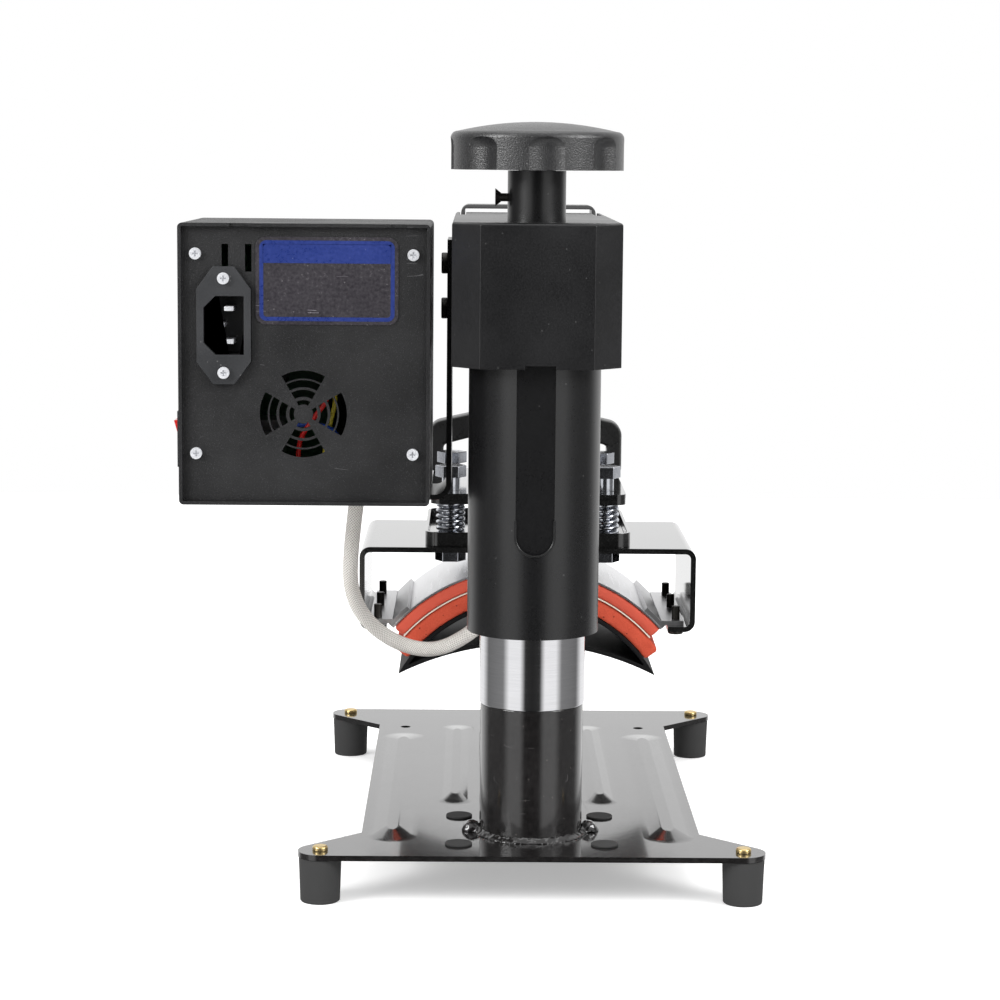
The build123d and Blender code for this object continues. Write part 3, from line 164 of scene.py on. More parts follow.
def place_in_scene(name: str, data: bpy.types.ID) -> bpy.types.Object:
    """Put new data in the scene as an object at the origin.

    Args:
        name: The object's name.
        data: Its mesh, curve, lamp or camera data.

    Returns:
        The object.
    """
    made = bpy.data.objects.new(name, data)
    bpy.context.scene.collection.objects.link(made)
    return made


def tube(name: str, route: list[Vector], radius: float, flowing: bool = True,
         roundness: int = 3) -> bpy.types.Object:
    """Lay a round tube with closed ends along a route.

    Args:
        name: The piece's name.
        route: Points of the route, in metres.
        radius: Radius of the tube, in millimetres.
        flowing: True for one smooth line led by the points, False for straight runs between them.
        roundness: Steps round each quarter of the tube.

    Returns:
        The tube.
    """
    data = bpy.data.curves.new(name, "CURVE")
    data.dimensions = "3D"
    line = data.splines.new("NURBS" if flowing else "POLY")
    line.points.add(len(route) - 1)
    for point, spot in zip(line.points, route):
        point.co = (*spot, 1.0)
    if flowing:
        line.order_u = 3
        line.use_endpoint_u = True
        line.resolution_u = 12
    data.bevel_depth = radius * MM
    data.bevel_resolution = roundness
    data.use_fill_caps = True
    return place_in_scene(name, data)


class NodeNet:
    """A shader node tree, written one node at a time."""

    def __init__(self, tree: bpy.types.NodeTree) -> None:
        """Keep the tree that the nodes go into."""
        self.tree = tree

    def add(self, kind: str, inputs: dict | None = None, **settings: object) -> bpy.types.Node:
        """Add a node.

        Args:
            kind: The node's type, without its ShaderNode prefix.
            inputs: What each input socket gets, a value or another node's output socket.
            settings: The node's own settings.

        Returns:
            The new node.
        """
        node = self.tree.nodes.new("ShaderNode" + kind)
        for name, value in settings.items():
            setattr(node, name, value)
        for socket, value in (inputs or {}).items():
            self.feed(node, socket, value)
        return node

    def feed(self, node: bpy.types.Node, socket: str | int, value: object) -> None:
        """Link an output socket to a node's input, or set the input's value.

        Args:
            node: The node that is fed.
            socket: Name or number of its input.
            value: A value, or another node's output socket.
        """
        if isinstance(value, Socket):
            self.tree.links.new(value, node.inputs[socket])
        else:
            node.inputs[socket].default_value = value

    def math(self, operation: str, *values: object) -> Socket:
        """Output of a Math node on one, two or three values."""
        return self.add("Math", dict(enumerate(values)), operation=operation).outputs[0]

    def blend(self, factor: object, low: object, high: object) -> Socket:
        """Colour between two colours, by a factor."""
        return self.add("Mix", {0: factor, 6: low, 7: high}, data_type="RGBA").outputs[2]

    def span(self, value: object, low: float, high: float) -> Socket:
        """A value from 0 to 1, moved to a range."""
        return self.add("MapRange", {"Value": value, "To Min": low, "To Max": high}).outputs[0]

    def use(self, group: bpy.types.NodeTree, inputs: dict) -> bpy.types.Node:
        """Place a node group and feed its inputs.

        Args:
            group: The group.
            inputs: What each of its inputs gets.

        Returns:
            The group's node.
        """
        node = self.add("Group")
        node.node_tree = group
        for socket, value in inputs.items():
            self.feed(node, socket, value)
        return node


def new_group(name: str, inputs: dict[str, float | None], outputs: tuple[str, ...]) -> bpy.types.NodeTree:
    """Start a shader node group with named sockets.

    Args:
        name: The group's name.
        inputs: Each input's name and first value, or None for a vector.
        outputs: Names of the outputs, which are values.

    Returns:
        The group, with its input and output nodes in it.
    """
    group = bpy.data.node_groups.new(name, "ShaderNodeTree")
    for socket, value in inputs.items():
        kind = "NodeSocketVector" if value is None else "NodeSocketFloat"
        made = group.interface.new_socket(socket, in_out="INPUT", socket_type=kind)
        if value is not None:
            made.default_value = value
    for socket in outputs:
        group.interface.new_socket(socket, in_out="OUTPUT", socket_type="NodeSocketFloat")
    group.nodes.new("NodeGroupInput")
    group.nodes.new("NodeGroupOutput")
    return group


def grain_group() -> bpy.types.NodeTree:
    """Fine grain with a broad unevenness.

    Returns:
        The group: Height for a bump, Tone for colour and roughness.
    """
    if "grain" in bpy.data.node_groups:
        return bpy.data.node_groups["grain"]
    fine_share = 0.6
    lowest, highest = 0.35, 0.65
    group = new_group("grain", {"Vector": None, "Density": 1000.0, "Broad": 40.0}, ("Height", "Tone"))
    net = NodeNet(group)
    given = group.nodes["Group Input"].outputs
    fine = net.add("TexNoise", {"Vector": given["Vector"], "Scale": given["Density"], "Detail": 3.0})
    broad = net.add("TexNoise", {"Vector": given["Vector"], "Scale": given["Broad"], "Detail": 4.0})
    spread = net.math("MULTIPLY_ADD", fine.outputs[0], fine_share,
                      net.math("MULTIPLY", broad.outputs[0], 1 - fine_share))
    tone = net.add("MapRange", {"Value": spread, "From Min": lowest, "From Max": highest})
    result = group.nodes["Group Output"]
    net.feed(result, "Height", fine.outputs[0])
    net.feed(result, "Tone", tone.outputs[0])
    return group


def fleck_group() -> bpy.types.NodeTree:
    """Small round specks of another colour: dust and pigment specks, and painted glints where a coat's
    sparkle is painted into its colour.

    Returns:
        The group: Mask is 1 on a speck.
    """
    if "flecks" in bpy.data.node_groups:
        return bpy.data.node_groups["flecks"]
    group = new_group("flecks", {"Vector": None, "Density": 600.0, "Amount": 0.1, "Radius": 0.25},
                      ("Mask",))
    net = NodeNet(group)
    given = group.nodes["Group Input"].outputs
    cells = net.add("TexVoronoi", {"Vector": given["Vector"], "Scale": given["Density"]})
    near = net.math("LESS_THAN", cells.outputs["Distance"], given["Radius"])
    lot = net.add("SeparateColor", {0: cells.outputs["Color"]}).outputs[0]
    drawn = net.math("LESS_THAN", lot, given["Amount"])
    net.feed(group.nodes["Group Output"], "Mask", net.math("MULTIPLY", near, drawn))
    return group


def scratch_group() -> bpy.types.NodeTree:
    """Hair-thin rubbed lines in patches.

    Returns:
        The group: Mask is 1 on a line.
    """
    if "scratches" in bpy.data.node_groups:
        return bpy.data.node_groups["scratches"]
    tilt, stretch = (0.3, 0.7, 0.4), (0.12, 1.0, 1.6)
    patch_density = 0.7
    group = new_group("scratches", {"Vector": None, "Density": 90.0, "Width": 0.004, "Amount": 0.4},
                      ("Mask",))
    net = NodeNet(group)
    given = group.nodes["Group Input"].outputs
    drawn = net.add("Mapping", {"Vector": given["Vector"], "Rotation": tilt, "Scale": stretch}).outputs[0]
    lines = net.add("TexNoise", {"Vector": drawn, "Scale": given["Density"], "Detail": 1.0})
    ridge = net.math("ABSOLUTE", net.math("SUBTRACT", lines.outputs[0], 0.5))
    patch_scale = net.math("MULTIPLY", given["Density"], patch_density)
    patches = net.add("TexNoise", {"Vector": given["Vector"], "Scale": patch_scale})
    where = net.math("LESS_THAN", patches.outputs[0], given["Amount"])
    net.feed(group.nodes["Group Output"], "Mask",
             net.math("MULTIPLY", net.math("LESS_THAN", ridge, given["Width"]), where))
    return group


class Run(Enum):
    """Direction in which a finish's marks run, as the stretch of its pattern along X, Y and Z."""

    EVEN = (1.0, 1.0, 1.0)
    ALONG_Y = (1.0, 0.03, 1.0)
    ROUND_Z = (0.03, 0.03, 1.0)


@dataclass(frozen=True)
class Finish:
    """One surface finish, with its grain, specks and rubbed lines at their real size."""

    name: str
    colour: RGB
    tone: RGB
    roughness: tuple[float, float] = (0.4, 0.55)
    metallic: float = 0.0
    grain: float = 0.6
    depth: float = 0.03
    broad: float = 25.0
    run: Run = Run.EVEN
    fleck: float = 1.2
    flecks: float = 0.0
    fleck_colour: RGB = (0.5, 0.5, 0.5)
    scratches: float = 0.0
    coat: float = 0.0
    specular: float = 0.5
    coat_roughness: float = 0.08
    worn_gain: float = 3.0
    worn_floor: float = 0.02

    def material(self) -> bpy.types.Material:
        """Make the finish's material the first time, and give the same one after that.

        Returns:
            The material.
        """
        if self.name in bpy.data.materials:
            return bpy.data.materials[self.name]
        made = bpy.data.materials.new(self.name)
        made.use_nodes = True
        net = NodeNet(made.node_tree)
        shader = made.node_tree.nodes["Principled BSDF"]
        place = self.place(net)
        along = net.add("Mapping", {"Vector": place, "Scale": self.run.value}).outputs[0]
        grain = net.use(grain_group(), {"Vector": along, "Density": 1 / (self.grain * MM),
                                        "Broad": 1 / (self.broad * MM)})
        colour = net.blend(grain.outputs["Tone"], (*self.colour, 1.0), (*self.tone, 1.0))
        # Specks in the colour: dust and pigment, and on the box coat painted glints.
        if self.flecks:
            flecks = net.use(fleck_group(), {"Vector": place, "Density": 1 / (self.fleck * MM),
                                             "Amount": self.flecks})
            colour = net.blend(flecks.outputs["Mask"], colour, (*self.fleck_colour, 1.0))
        if self.scratches:
            lines = net.use(scratch_group(), {"Vector": place, "Amount": self.scratches})
            worn = tuple(min(1.0, self.worn_gain * part + self.worn_floor) for part in self.tone)
            colour = net.blend(lines.outputs["Mask"], colour, (*worn, 1.0))
        net.feed(shader, "Base Color", self.pattern(net, place, colour))
        net.feed(shader, "Roughness", net.span(grain.outputs["Tone"], *self.roughness))
        net.feed(shader, "Metallic", self.metallic)
        net.feed(shader, "Specular IOR Level", self.specular)
        net.feed(shader, "Coat Weight", self.coat)
        net.feed(shader, "Coat Roughness", self.coat_roughness)
        bump = net.add("Bump", {"Height": self.relief(net, place, grain.outputs["Height"]),
                                "Strength": 1.0, "Distance": self.depth * MM})
        net.feed(shader, "Normal", bump.outputs[0])
        return made

    def place(self, net: NodeNet) -> Socket:
        """Where the pattern is read: the object's own coordinates."""
        return net.add("TexCoord").outputs["Object"]

    def pattern(self, net: NodeNet, place: Socket, colour: Socket) -> Socket:
        """Colour with the finish's own pattern on it, here as it is."""
        return colour

    def relief(self, net: NodeNet, place: Socket, height: Socket) -> Socket:
        """Height with the finish's own relief on it, here as it is."""
        return height


@dataclass(frozen=True)
class BraidedSleeve(Finish):
    """Woven sleeve of a cable, in crossing strands that follow the tube."""

    strands: int = 16
    turns: int = 9
    # painted shade: the colour is darkened in the hollows between the strands
    hollow_shade: RGB = (0.34, 0.31, 0.28)
    hollow_shade_span: tuple[float, float] = (-0.25, 0.3)
    grain_share: float = 0.3
    strand_height: float = 0.5

    def pattern(self, net: NodeNet, place: Socket, colour: Socket) -> Socket:
        """Colour with painted shade in the hollows between the strands.

        Args:
            net: The finish's nodes.
            place: Where the pattern is read.
            colour: The colour so far.

        Returns:
            The colour with the painted shade in the hollows.
        """
        low, high = self.hollow_shade_span
        # painted shade: the colour darkens towards the hollows between the strands
        depth = net.add("MapRange", {"Value": self.woven(net), "From Min": low, "From Max": high})
        return net.blend(depth.outputs[0], (*self.hollow_shade, 1.0), colour)

    def relief(self, net: NodeNet, place: Socket, height: Socket) -> Socket:
        """Strands that stand out of the fine grain."""
        return net.math("MULTIPLY_ADD", height, self.grain_share, self.woven(net))

    def woven(self, net: NodeNet) -> Socket:
        """Crossing waves round and along the tube, by its own UV map.

        Args:
            net: The finish's nodes.

        Returns:
            The waves' height.
        """
        across = net.add("SeparateXYZ", {0: net.add("TexCoord").outputs["UV"]})
        waves = []
        for way in (1, -1):
            along = net.math("MULTIPLY", across.outputs[0], self.turns * self.strands)
            phase = net.math("MULTIPLY_ADD", across.outputs[1], way * self.strands, along)
            waves.append(net.math("SINE", net.math("MULTIPLY", phase, math.tau)))
        return net.math("MULTIPLY", net.math("MAXIMUM", *waves), self.strand_height)


class Look:
    """The finishes of this press."""

    # The box coat's dense lighter specks are painted glints of its textured coat.
    BOX_COAT = Finish("box_powder_coat", (0.006, 0.006, 0.0065), (0.017, 0.017, 0.018), (0.34, 0.55),
                      grain=0.5, depth=0.2, fleck=0.5, flecks=0.34, fleck_colour=(0.045, 0.045, 0.048),
                      scratches=0.33, specular=0.45)
    ARM_COAT = Finish("arm_satin_coat", (0.0045, 0.0045, 0.005), (0.007, 0.007, 0.0075), (0.27, 0.31),
                      grain=0.9, depth=0.005, fleck=1.6, flecks=0.008, fleck_colour=(0.04, 0.04, 0.04),
                      specular=0.6)
    PLATEN_COAT = Finish("platen_black_coat", (0.004, 0.004, 0.0043), (0.009, 0.009, 0.0095), (0.5, 0.6),
                         grain=0.9, depth=0.02, specular=0.2)
    HEAD_COAT = Finish("head_satin_coat", (0.005, 0.005, 0.0055), (0.011, 0.011, 0.012), (0.28, 0.38),
                       grain=0.7, depth=0.02, fleck=1.4, flecks=0.012, fleck_colour=(0.04, 0.04, 0.04),
                       specular=0.7)
    GLOSS_COAT = Finish("base_gloss_coat", (0.006, 0.0055, 0.0055), (0.014, 0.013, 0.013), (0.12, 0.2),
                        grain=2.2, depth=0.02, fleck=1.3, flecks=0.02, fleck_colour=(0.06, 0.055, 0.05),
                        scratches=0.34, coat=0.8)
    BRACKET_COAT = Finish("bracket_gloss_coat", (0.005, 0.005, 0.005), (0.012, 0.012, 0.012), (0.06, 0.1),
                          grain=1.5, depth=0.008, fleck=1.4, flecks=0.012,
                          fleck_colour=(0.05, 0.05, 0.05), coat=1.0)
    CHROME = Finish("chrome_tube", (0.78, 0.78, 0.80), (0.86, 0.86, 0.88), (0.07, 0.12), 1.0, grain=0.4,
                    depth=0.001, run=Run.ROUND_Z)
    ZINC = Finish("zinc_plate", (0.56, 0.58, 0.63), (0.72, 0.74, 0.79), (0.12, 0.2), 1.0, grain=0.9,
                  depth=0.003, broad=4.0)
    ZINC_SCREW = Finish("zinc_screw", (0.62, 0.63, 0.66), (0.84, 0.85, 0.88), (0.3, 0.42), 0.45,
                        grain=0.7, depth=0.01, broad=3.0)
    TURNED_STEEL = Finish("turned_steel", (0.36, 0.36, 0.37), (0.5, 0.5, 0.5), (0.25, 0.4), 1.0,
                          grain=0.3, depth=0.008, run=Run.ROUND_Z)
    BRONZE = Finish("bronze", (0.42, 0.26, 0.11), (0.55, 0.36, 0.17), (0.3, 0.45), 1.0, grain=0.4,
                    depth=0.006)
    BRASS = Finish("brass", (0.33, 0.29, 0.22), (0.46, 0.42, 0.34), (0.25, 0.4), 0.9, grain=0.4,
                   depth=0.006)
    RUBBER = Finish("black_rubber", (0.012, 0.012, 0.012), (0.028, 0.028, 0.028), (0.6, 0.8), grain=0.5,
                    depth=0.03, fleck=1.5, flecks=0.03, fleck_colour=(0.08, 0.08, 0.08), specular=0.35)
    KNOB_PLASTIC = Finish("knob_grained_plastic", (0.011, 0.011, 0.0115), (0.022, 0.022, 0.023),
                          (0.26, 0.36), grain=0.6, depth=0.18, fleck=1.4, flecks=0.03,
                          fleck_colour=(0.08, 0.08, 0.08), specular=0.8)
    BLACK_PLASTIC = Finish("black_moulded_plastic", (0.018, 0.019, 0.021), (0.034, 0.035, 0.038),
                           (0.38, 0.55), grain=0.5, depth=0.03, fleck=1.4, flecks=0.05,
                           fleck_colour=(0.09, 0.09, 0.09))
    HANDLE_PLASTIC = Finish("handle_plastic", (0.010, 0.010, 0.010), (0.02, 0.02, 0.02), (0.26, 0.38),
                            grain=0.9, depth=0.02)
    GLOSS_BLACK = Finish("display_film", (0.006, 0.006, 0.007), (0.01, 0.01, 0.012), (0.05, 0.1),
                         grain=2.0, depth=0.002, coat=0.5)
    RED_PLASTIC = Finish("rocker_red_plastic", (0.50, 0.012, 0.01), (0.62, 0.025, 0.018), (0.14, 0.24),
                         grain=1.2, depth=0.01, coat=0.3)
    RED_SILICONE = Finish("red_silicone", (0.56, 0.075, 0.035), (0.66, 0.105, 0.055), (0.55, 0.75),
                          grain=1.1, depth=0.12, broad=9.0, fleck=2.6, flecks=0.06,
                          fleck_colour=(0.24, 0.03, 0.015), specular=0.3)
    RED_SPONGE = Finish("red_sponge", (0.53, 0.068, 0.032), (0.63, 0.096, 0.05), (0.65, 0.85), grain=0.8,
                        depth=0.2, broad=7.0, fleck=1.6, flecks=0.12, fleck_colour=(0.22, 0.028, 0.014),
                        specular=0.25)
    LINING = Finish("pale_lining_cloth", (0.78, 0.66, 0.55), (0.88, 0.78, 0.68), (0.5, 0.7), grain=0.5,
                    depth=0.05)
    CABLE_SLEEVE = BraidedSleeve("braided_sleeve", (0.70, 0.67, 0.63), (0.86, 0.84, 0.80), (0.6, 0.8),
                                 grain=0.5, depth=0.25, broad=14.0, fleck=2.2, flecks=0.02,
                                 fleck_colour=(0.55, 0.28, 0.22), specular=0.3)
    SHELL_METAL = Finish("bright_shell", (0.93, 0.93, 0.95), (0.98, 0.98, 0.99), (0.26, 0.34), 1.0,
                         grain=0.9, depth=0.004, run=Run.ALONG_Y)
    ALUMINIUM = Finish("mill_aluminium", (0.62, 0.62, 0.63), (0.76, 0.76, 0.77), (0.28, 0.42), 1.0,
                       grain=0.35, depth=0.01, run=Run.ALONG_Y)
    BLACK_SCREW = Finish("blackened_screw", (0.02, 0.019, 0.018), (0.05, 0.046, 0.04), (0.28, 0.45), 0.6,
                         grain=0.4, depth=0.02)
    LABEL_FILM = Finish("label_film", (0.022, 0.020, 0.024), (0.05, 0.046, 0.052), (0.12, 0.3), grain=1.4,
                        depth=0.03, fleck=1.2, flecks=0.04, fleck_colour=(0.1, 0.095, 0.1),
                        scratches=0.38)
    LABEL_BLUE = Finish("label_blue_print", (0.009, 0.022, 0.13), (0.015, 0.032, 0.18), (0.25, 0.38),
                        grain=1.2, depth=0.01, fleck=1.1, flecks=0.008, fleck_colour=(0.06, 0.08, 0.22))
    BOARD = Finish("circuit_board", (0.02, 0.10, 0.03), (0.035, 0.15, 0.05), (0.3, 0.5), grain=0.5,
                   depth=0.02)
    GREY_PLASTIC = Finish("grey_moulded_plastic", (0.20, 0.20, 0.21), (0.28, 0.28, 0.29), (0.4, 0.55),
                          grain=0.5, depth=0.02)
    WIRE_RED = Finish("wire_red", (0.60, 0.012, 0.012), (0.7, 0.03, 0.02), (0.3, 0.4), grain=0.8,
                      depth=0.01)
    WIRE_BLUE = Finish("wire_blue", (0.015, 0.06, 0.35), (0.03, 0.09, 0.45), (0.3, 0.4), grain=0.8,
                       depth=0.01)
    WIRE_YELLOW = Finish("wire_yellow", (0.50, 0.40, 0.03), (0.6, 0.5, 0.05), (0.3, 0.4), grain=0.8,
                         depth=0.01)


@dataclass(frozen=True)
class Lamp:
    """A square soft lamp."""

    name: str
    spot: Point
    width: float
    power: float

    def hang(self, target: Vector) -> None:
        """Put the lamp up, turned to a target.

        Args:
            target: The point that it shines on.
        """
        data = bpy.data.lights.new(self.name, "AREA")
        data.size = self.width
        data.energy = self.power
        made = place_in_scene(self.name, data)
        made.location = self.spot
        made.rotation_euler = (target - made.location).to_track_quat("-Z", "Y").to_euler()


@dataclass
class Studio:
    """Camera at the photograph's viewing angle, pale floor, soft lamps and white surroundings."""

    eye: Point = (0.001, -1.254, 0.316)
    pitch: float = 7.4
    yaw: float = 0.6
    roll: float = 0.5
    focal_pixels: float = 2640.0
    sensor: float = 36.0
    floor_half: float = 1.2
    floor_tones: tuple[float, float] = (0.92, 0.95)
    floor_patches: float = 3.0
    floor_roughness: float = 0.9
    floor_specular: float = 0.1
    floor_glow: float = 0.35
    target: Point = (0.0, 0.0, 0.16)
    lights: tuple[Lamp, ...] = (
        Lamp("left_lamp", (-1.5, -1.1, 1.0), 0.8, 25.0),
        Lamp("right_lamp", (1.6, -1.0, 1.1), 0.8, 22.0),
        Lamp("top_lamp", (0.0, 0.2, 1.9), 1.6, 10.0),
    )
    ambient: float = 0.95
    overhead_from: float = 0.45
    overhead_full: float = 0.8
    overhead_level: float = 0.8
    cards: tuple[tuple[float, float], ...] = (
        (0.0, 0.02),
        (0.09, 0.03),
        (0.15, 0.95),
        (0.29, 0.95),
        (0.37, 0.22),
        (0.62, 0.16),
        (0.74, 0.9),
        (1.0, 1.0),
    )

    def build(self) -> None:
        """Make the camera, the floor, the lamps and the world."""
        self.camera()
        self.floor()
        self.lamps()
        self.world()
        bpy.context.scene.view_settings.view_transform = "Standard"

    def camera(self) -> None:
        """Aim the camera as the photograph was taken."""
        data = bpy.data.cameras.new("camera")
        data.sensor_width = self.sensor
        data.lens = self.focal_pixels / PHOTO_PIXELS * self.sensor
        made = place_in_scene("camera", data)
        turn = Matrix.Rotation(-math.radians(self.yaw), 4, "Z")
        tip = Matrix.Rotation(math.radians(90 - self.pitch), 4, "X")
        lean = Matrix.Rotation(math.radians(self.roll), 4, "Z")
        made.matrix_world = Matrix.Translation(self.eye) @ turn @ tip @ lean
        bpy.context.scene.camera = made

    def floor(self) -> None:
        """Pale floor that keeps the press's shadow, and that a gloss looks through to the cards."""
        bpy.ops.mesh.primitive_plane_add(size=2 * self.floor_half)
        plane = bpy.context.object
        plane.name = "floor"
        made = bpy.data.materials.new("floor_paper")
        made.use_nodes = True
        net = NodeNet(made.node_tree)
        shader = made.node_tree.nodes["Principled BSDF"]
        low, high = ((tone, tone, tone, 1.0) for tone in self.floor_tones)
        patches = net.add("TexNoise", {"Scale": self.floor_patches}).outputs[0]
        net.feed(shader, "Base Color", net.blend(patches, low, high))
        net.feed(shader, "Roughness", self.floor_roughness)
        net.feed(shader, "Specular IOR Level", self.floor_specular)
        path = net.add("LightPath")
        net.feed(shader, "Emission Color", net.blend(path.outputs["Is Camera Ray"], BLACK, WHITE))
        net.feed(shader, "Emission Strength", self.floor_glow)
        clear = net.add("BsdfTransparent")
        both = net.add("MixShader", {0: path.outputs["Is Glossy Ray"], 1: shader.outputs[0],
                                     2: clear.outputs[0]})
        net.feed(made.node_tree.nodes["Material Output"], "Surface", both.outputs[0])
        plane.data.materials.append(made)

    def lamps(self) -> None:
        """Three soft lamps: one over each shoulder and one overhead."""
        for lamp in self.lights:
            lamp.hang(Vector(self.target))

    def world(self) -> None:
        """White surroundings, darker behind the camera in what a gloss shows."""
        world = bpy.data.worlds.new("surroundings")
        bpy.context.scene.world = world
        world.use_nodes = True
        net = NodeNet(world.node_tree)
        surface = world.node_tree.nodes["Background"]
        path = net.add("LightPath")
        gloss = net.math("MAXIMUM", path.outputs["Is Glossy Ray"], path.outputs["Is Transmission Ray"])
        plain = (self.ambient, self.ambient, self.ambient, 1.0)
        indirect = net.blend(gloss, plain, self.surround(net))
        net.feed(surface, "Color", net.blend(path.outputs["Is Camera Ray"], indirect, WHITE))
        net.feed(surface, "Strength", 1.0)

    def surround(self, net: NodeNet) -> Socket:
        """What a gloss shows: a dark room behind the camera, pale cards beside it, a pale backdrop.

        Args:
            net: The world's nodes.

        Returns:
            The colour of the surroundings by direction.
        """
        way = net.add("SeparateXYZ", {0: net.add("TexCoord").outputs["Generated"]})
        turned = net.math("ARCTAN2", way.outputs[0], net.math("MULTIPLY", way.outputs[1], -1.0))
        share = net.math("DIVIDE", net.math("ABSOLUTE", turned), math.pi)
        ramp = net.add("ValToRGB", {0: share})
        stops = ramp.color_ramp.elements
        while len(stops) < len(self.cards):
            stops.new(1.0)
        for stop, (place, level) in zip(stops, self.cards):
            stop.position = place
            stop.color = (level, level, level, 1.0)
        overhead = net.add("MapRange", {"Value": way.outputs[2], "From Min": self.overhead_from,
                                        "From Max": self.overhead_full}, interpolation_type="SMOOTHSTEP")
        level = self.overhead_level
        return net.blend(overhead.outputs[0], ramp.outputs[0], (level, level, level, 1.0))


class Workshop:
    """The fixed frame, and how a piece is shaped from it, dressed and hung on its body."""

    def __init__(self, frame: dict) -> None:
        """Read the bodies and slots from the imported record.
        """
        record = frame["record"]
        self.nodes = frame["nodes"]
        riders = record["behaviour"]["bodies"]
        self.bodies = {node: body for body, nodes in riders.items() for node in nodes}
        self.slots = {part["node"]: part["material_slot"] for part in record["subparts"]}
        low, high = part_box("column_tube")
        self.column = Vector(((low.x + high.x) / 2, (low.y + high.y) / 2, 0))

    def at(self, x: float, y: float, z: float) -> Vector:
        """Point given in millimetres from the column's axis on the floor."""
        return self.column + Vector((x, y, z)) * MM

    def dress(self, piece: bpy.types.Object, finish: Finish) -> None:
        """Give a piece or a node its one finish."""
        piece.data.materials.clear()
        piece.data.materials.append(finish.material())

    def hang(self, piece: bpy.types.Object, finish: Finish, like: str,
             replaces: bool = False) -> bpy.types.Object:
        """Dress a piece and let it ride with a node's body.

        Args:
            piece: The new piece.
            finish: Its finish.
            like: The node whose body it takes.
            replaces: True where the piece stands for that node.

        Returns:
            The piece.
        """
        self.dress(piece, finish)
        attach(piece, self.bodies[like])
        if replaces:
            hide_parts(like)
        log.info("%s rides on %s", piece.name, self.bodies[like])
        return piece

    def copy(self, node: str) -> bpy.types.Object:
        """Copy a node's mesh as a new piece, its loose triangles merged into clean faces.

        Args:
            node: The node that is copied.

        Returns:
            The copy.
        """
        piece = place_in_scene(f"{node}_shape", self.nodes[node].data.copy())
        edit(piece)
        bpy.ops.mesh.remove_doubles(threshold=MERGE_DISTANCE * MM)
        bpy.ops.mesh.dissolve_limited(angle_limit=math.radians(FLAT_WITHIN))
        bpy.ops.mesh.normals_make_consistent(inside=False)
        leave_edit()
        bpy.ops.mesh.customdata_custom_splitnormals_clear()
        return piece

    def rounded(self, node: str, finish: Finish, width: float, segments: int = 2) -> bpy.types.Object:
        """Replace a node by its copy with rounded edges.

        Args:
            node: The node that is copied.
            finish: The copy's finish.
            width: Width of the rounding, in millimetres.
            segments: Steps across the rounding.

        Returns:
            The copy.
        """
        piece = self.copy(node)
        round_edges(piece, width, segments)
        return self.hang(piece, finish, node, replaces=True)


@dataclass
class HeaterCable:
    """White braided cable from the control box's floor to the gland on the heater."""

    shop: Workshop
    radius: float = 3.5
    length: float = 0.1787
    route: tuple[Point, ...] = (
        (-78.3, 64, 184),
        (-78.6, 64, 168),
        (-80.6, 64.2, 151),
        (-82.4, 65.6, 134),
        (-82.8, 71.5, 118),
        (-78.3, 79.5, 104.5),
        (-69.5, 86.5, 94),
        (-57, 91, 86.5),
        (-43, 93.3, 84.5),
        (-30.5, 96, 90),
        (-20, 100, 98),
        (-10.5, 103, 106.5),
        (-3.1, 103, 113.9),
    )

    def build(self) -> None:
        """Lay the cable on one smooth line through its route."""
        line = [self.shop.at(*spot) for spot in self.route]
        piece = tube("heater_cable_sleeve", line, self.radius, roundness=8)
        self.shop.hang(piece, Look.CABLE_SLEEVE, "heater_cable", replaces=True)
        tuple(self.shop.at(*self.route[0]))


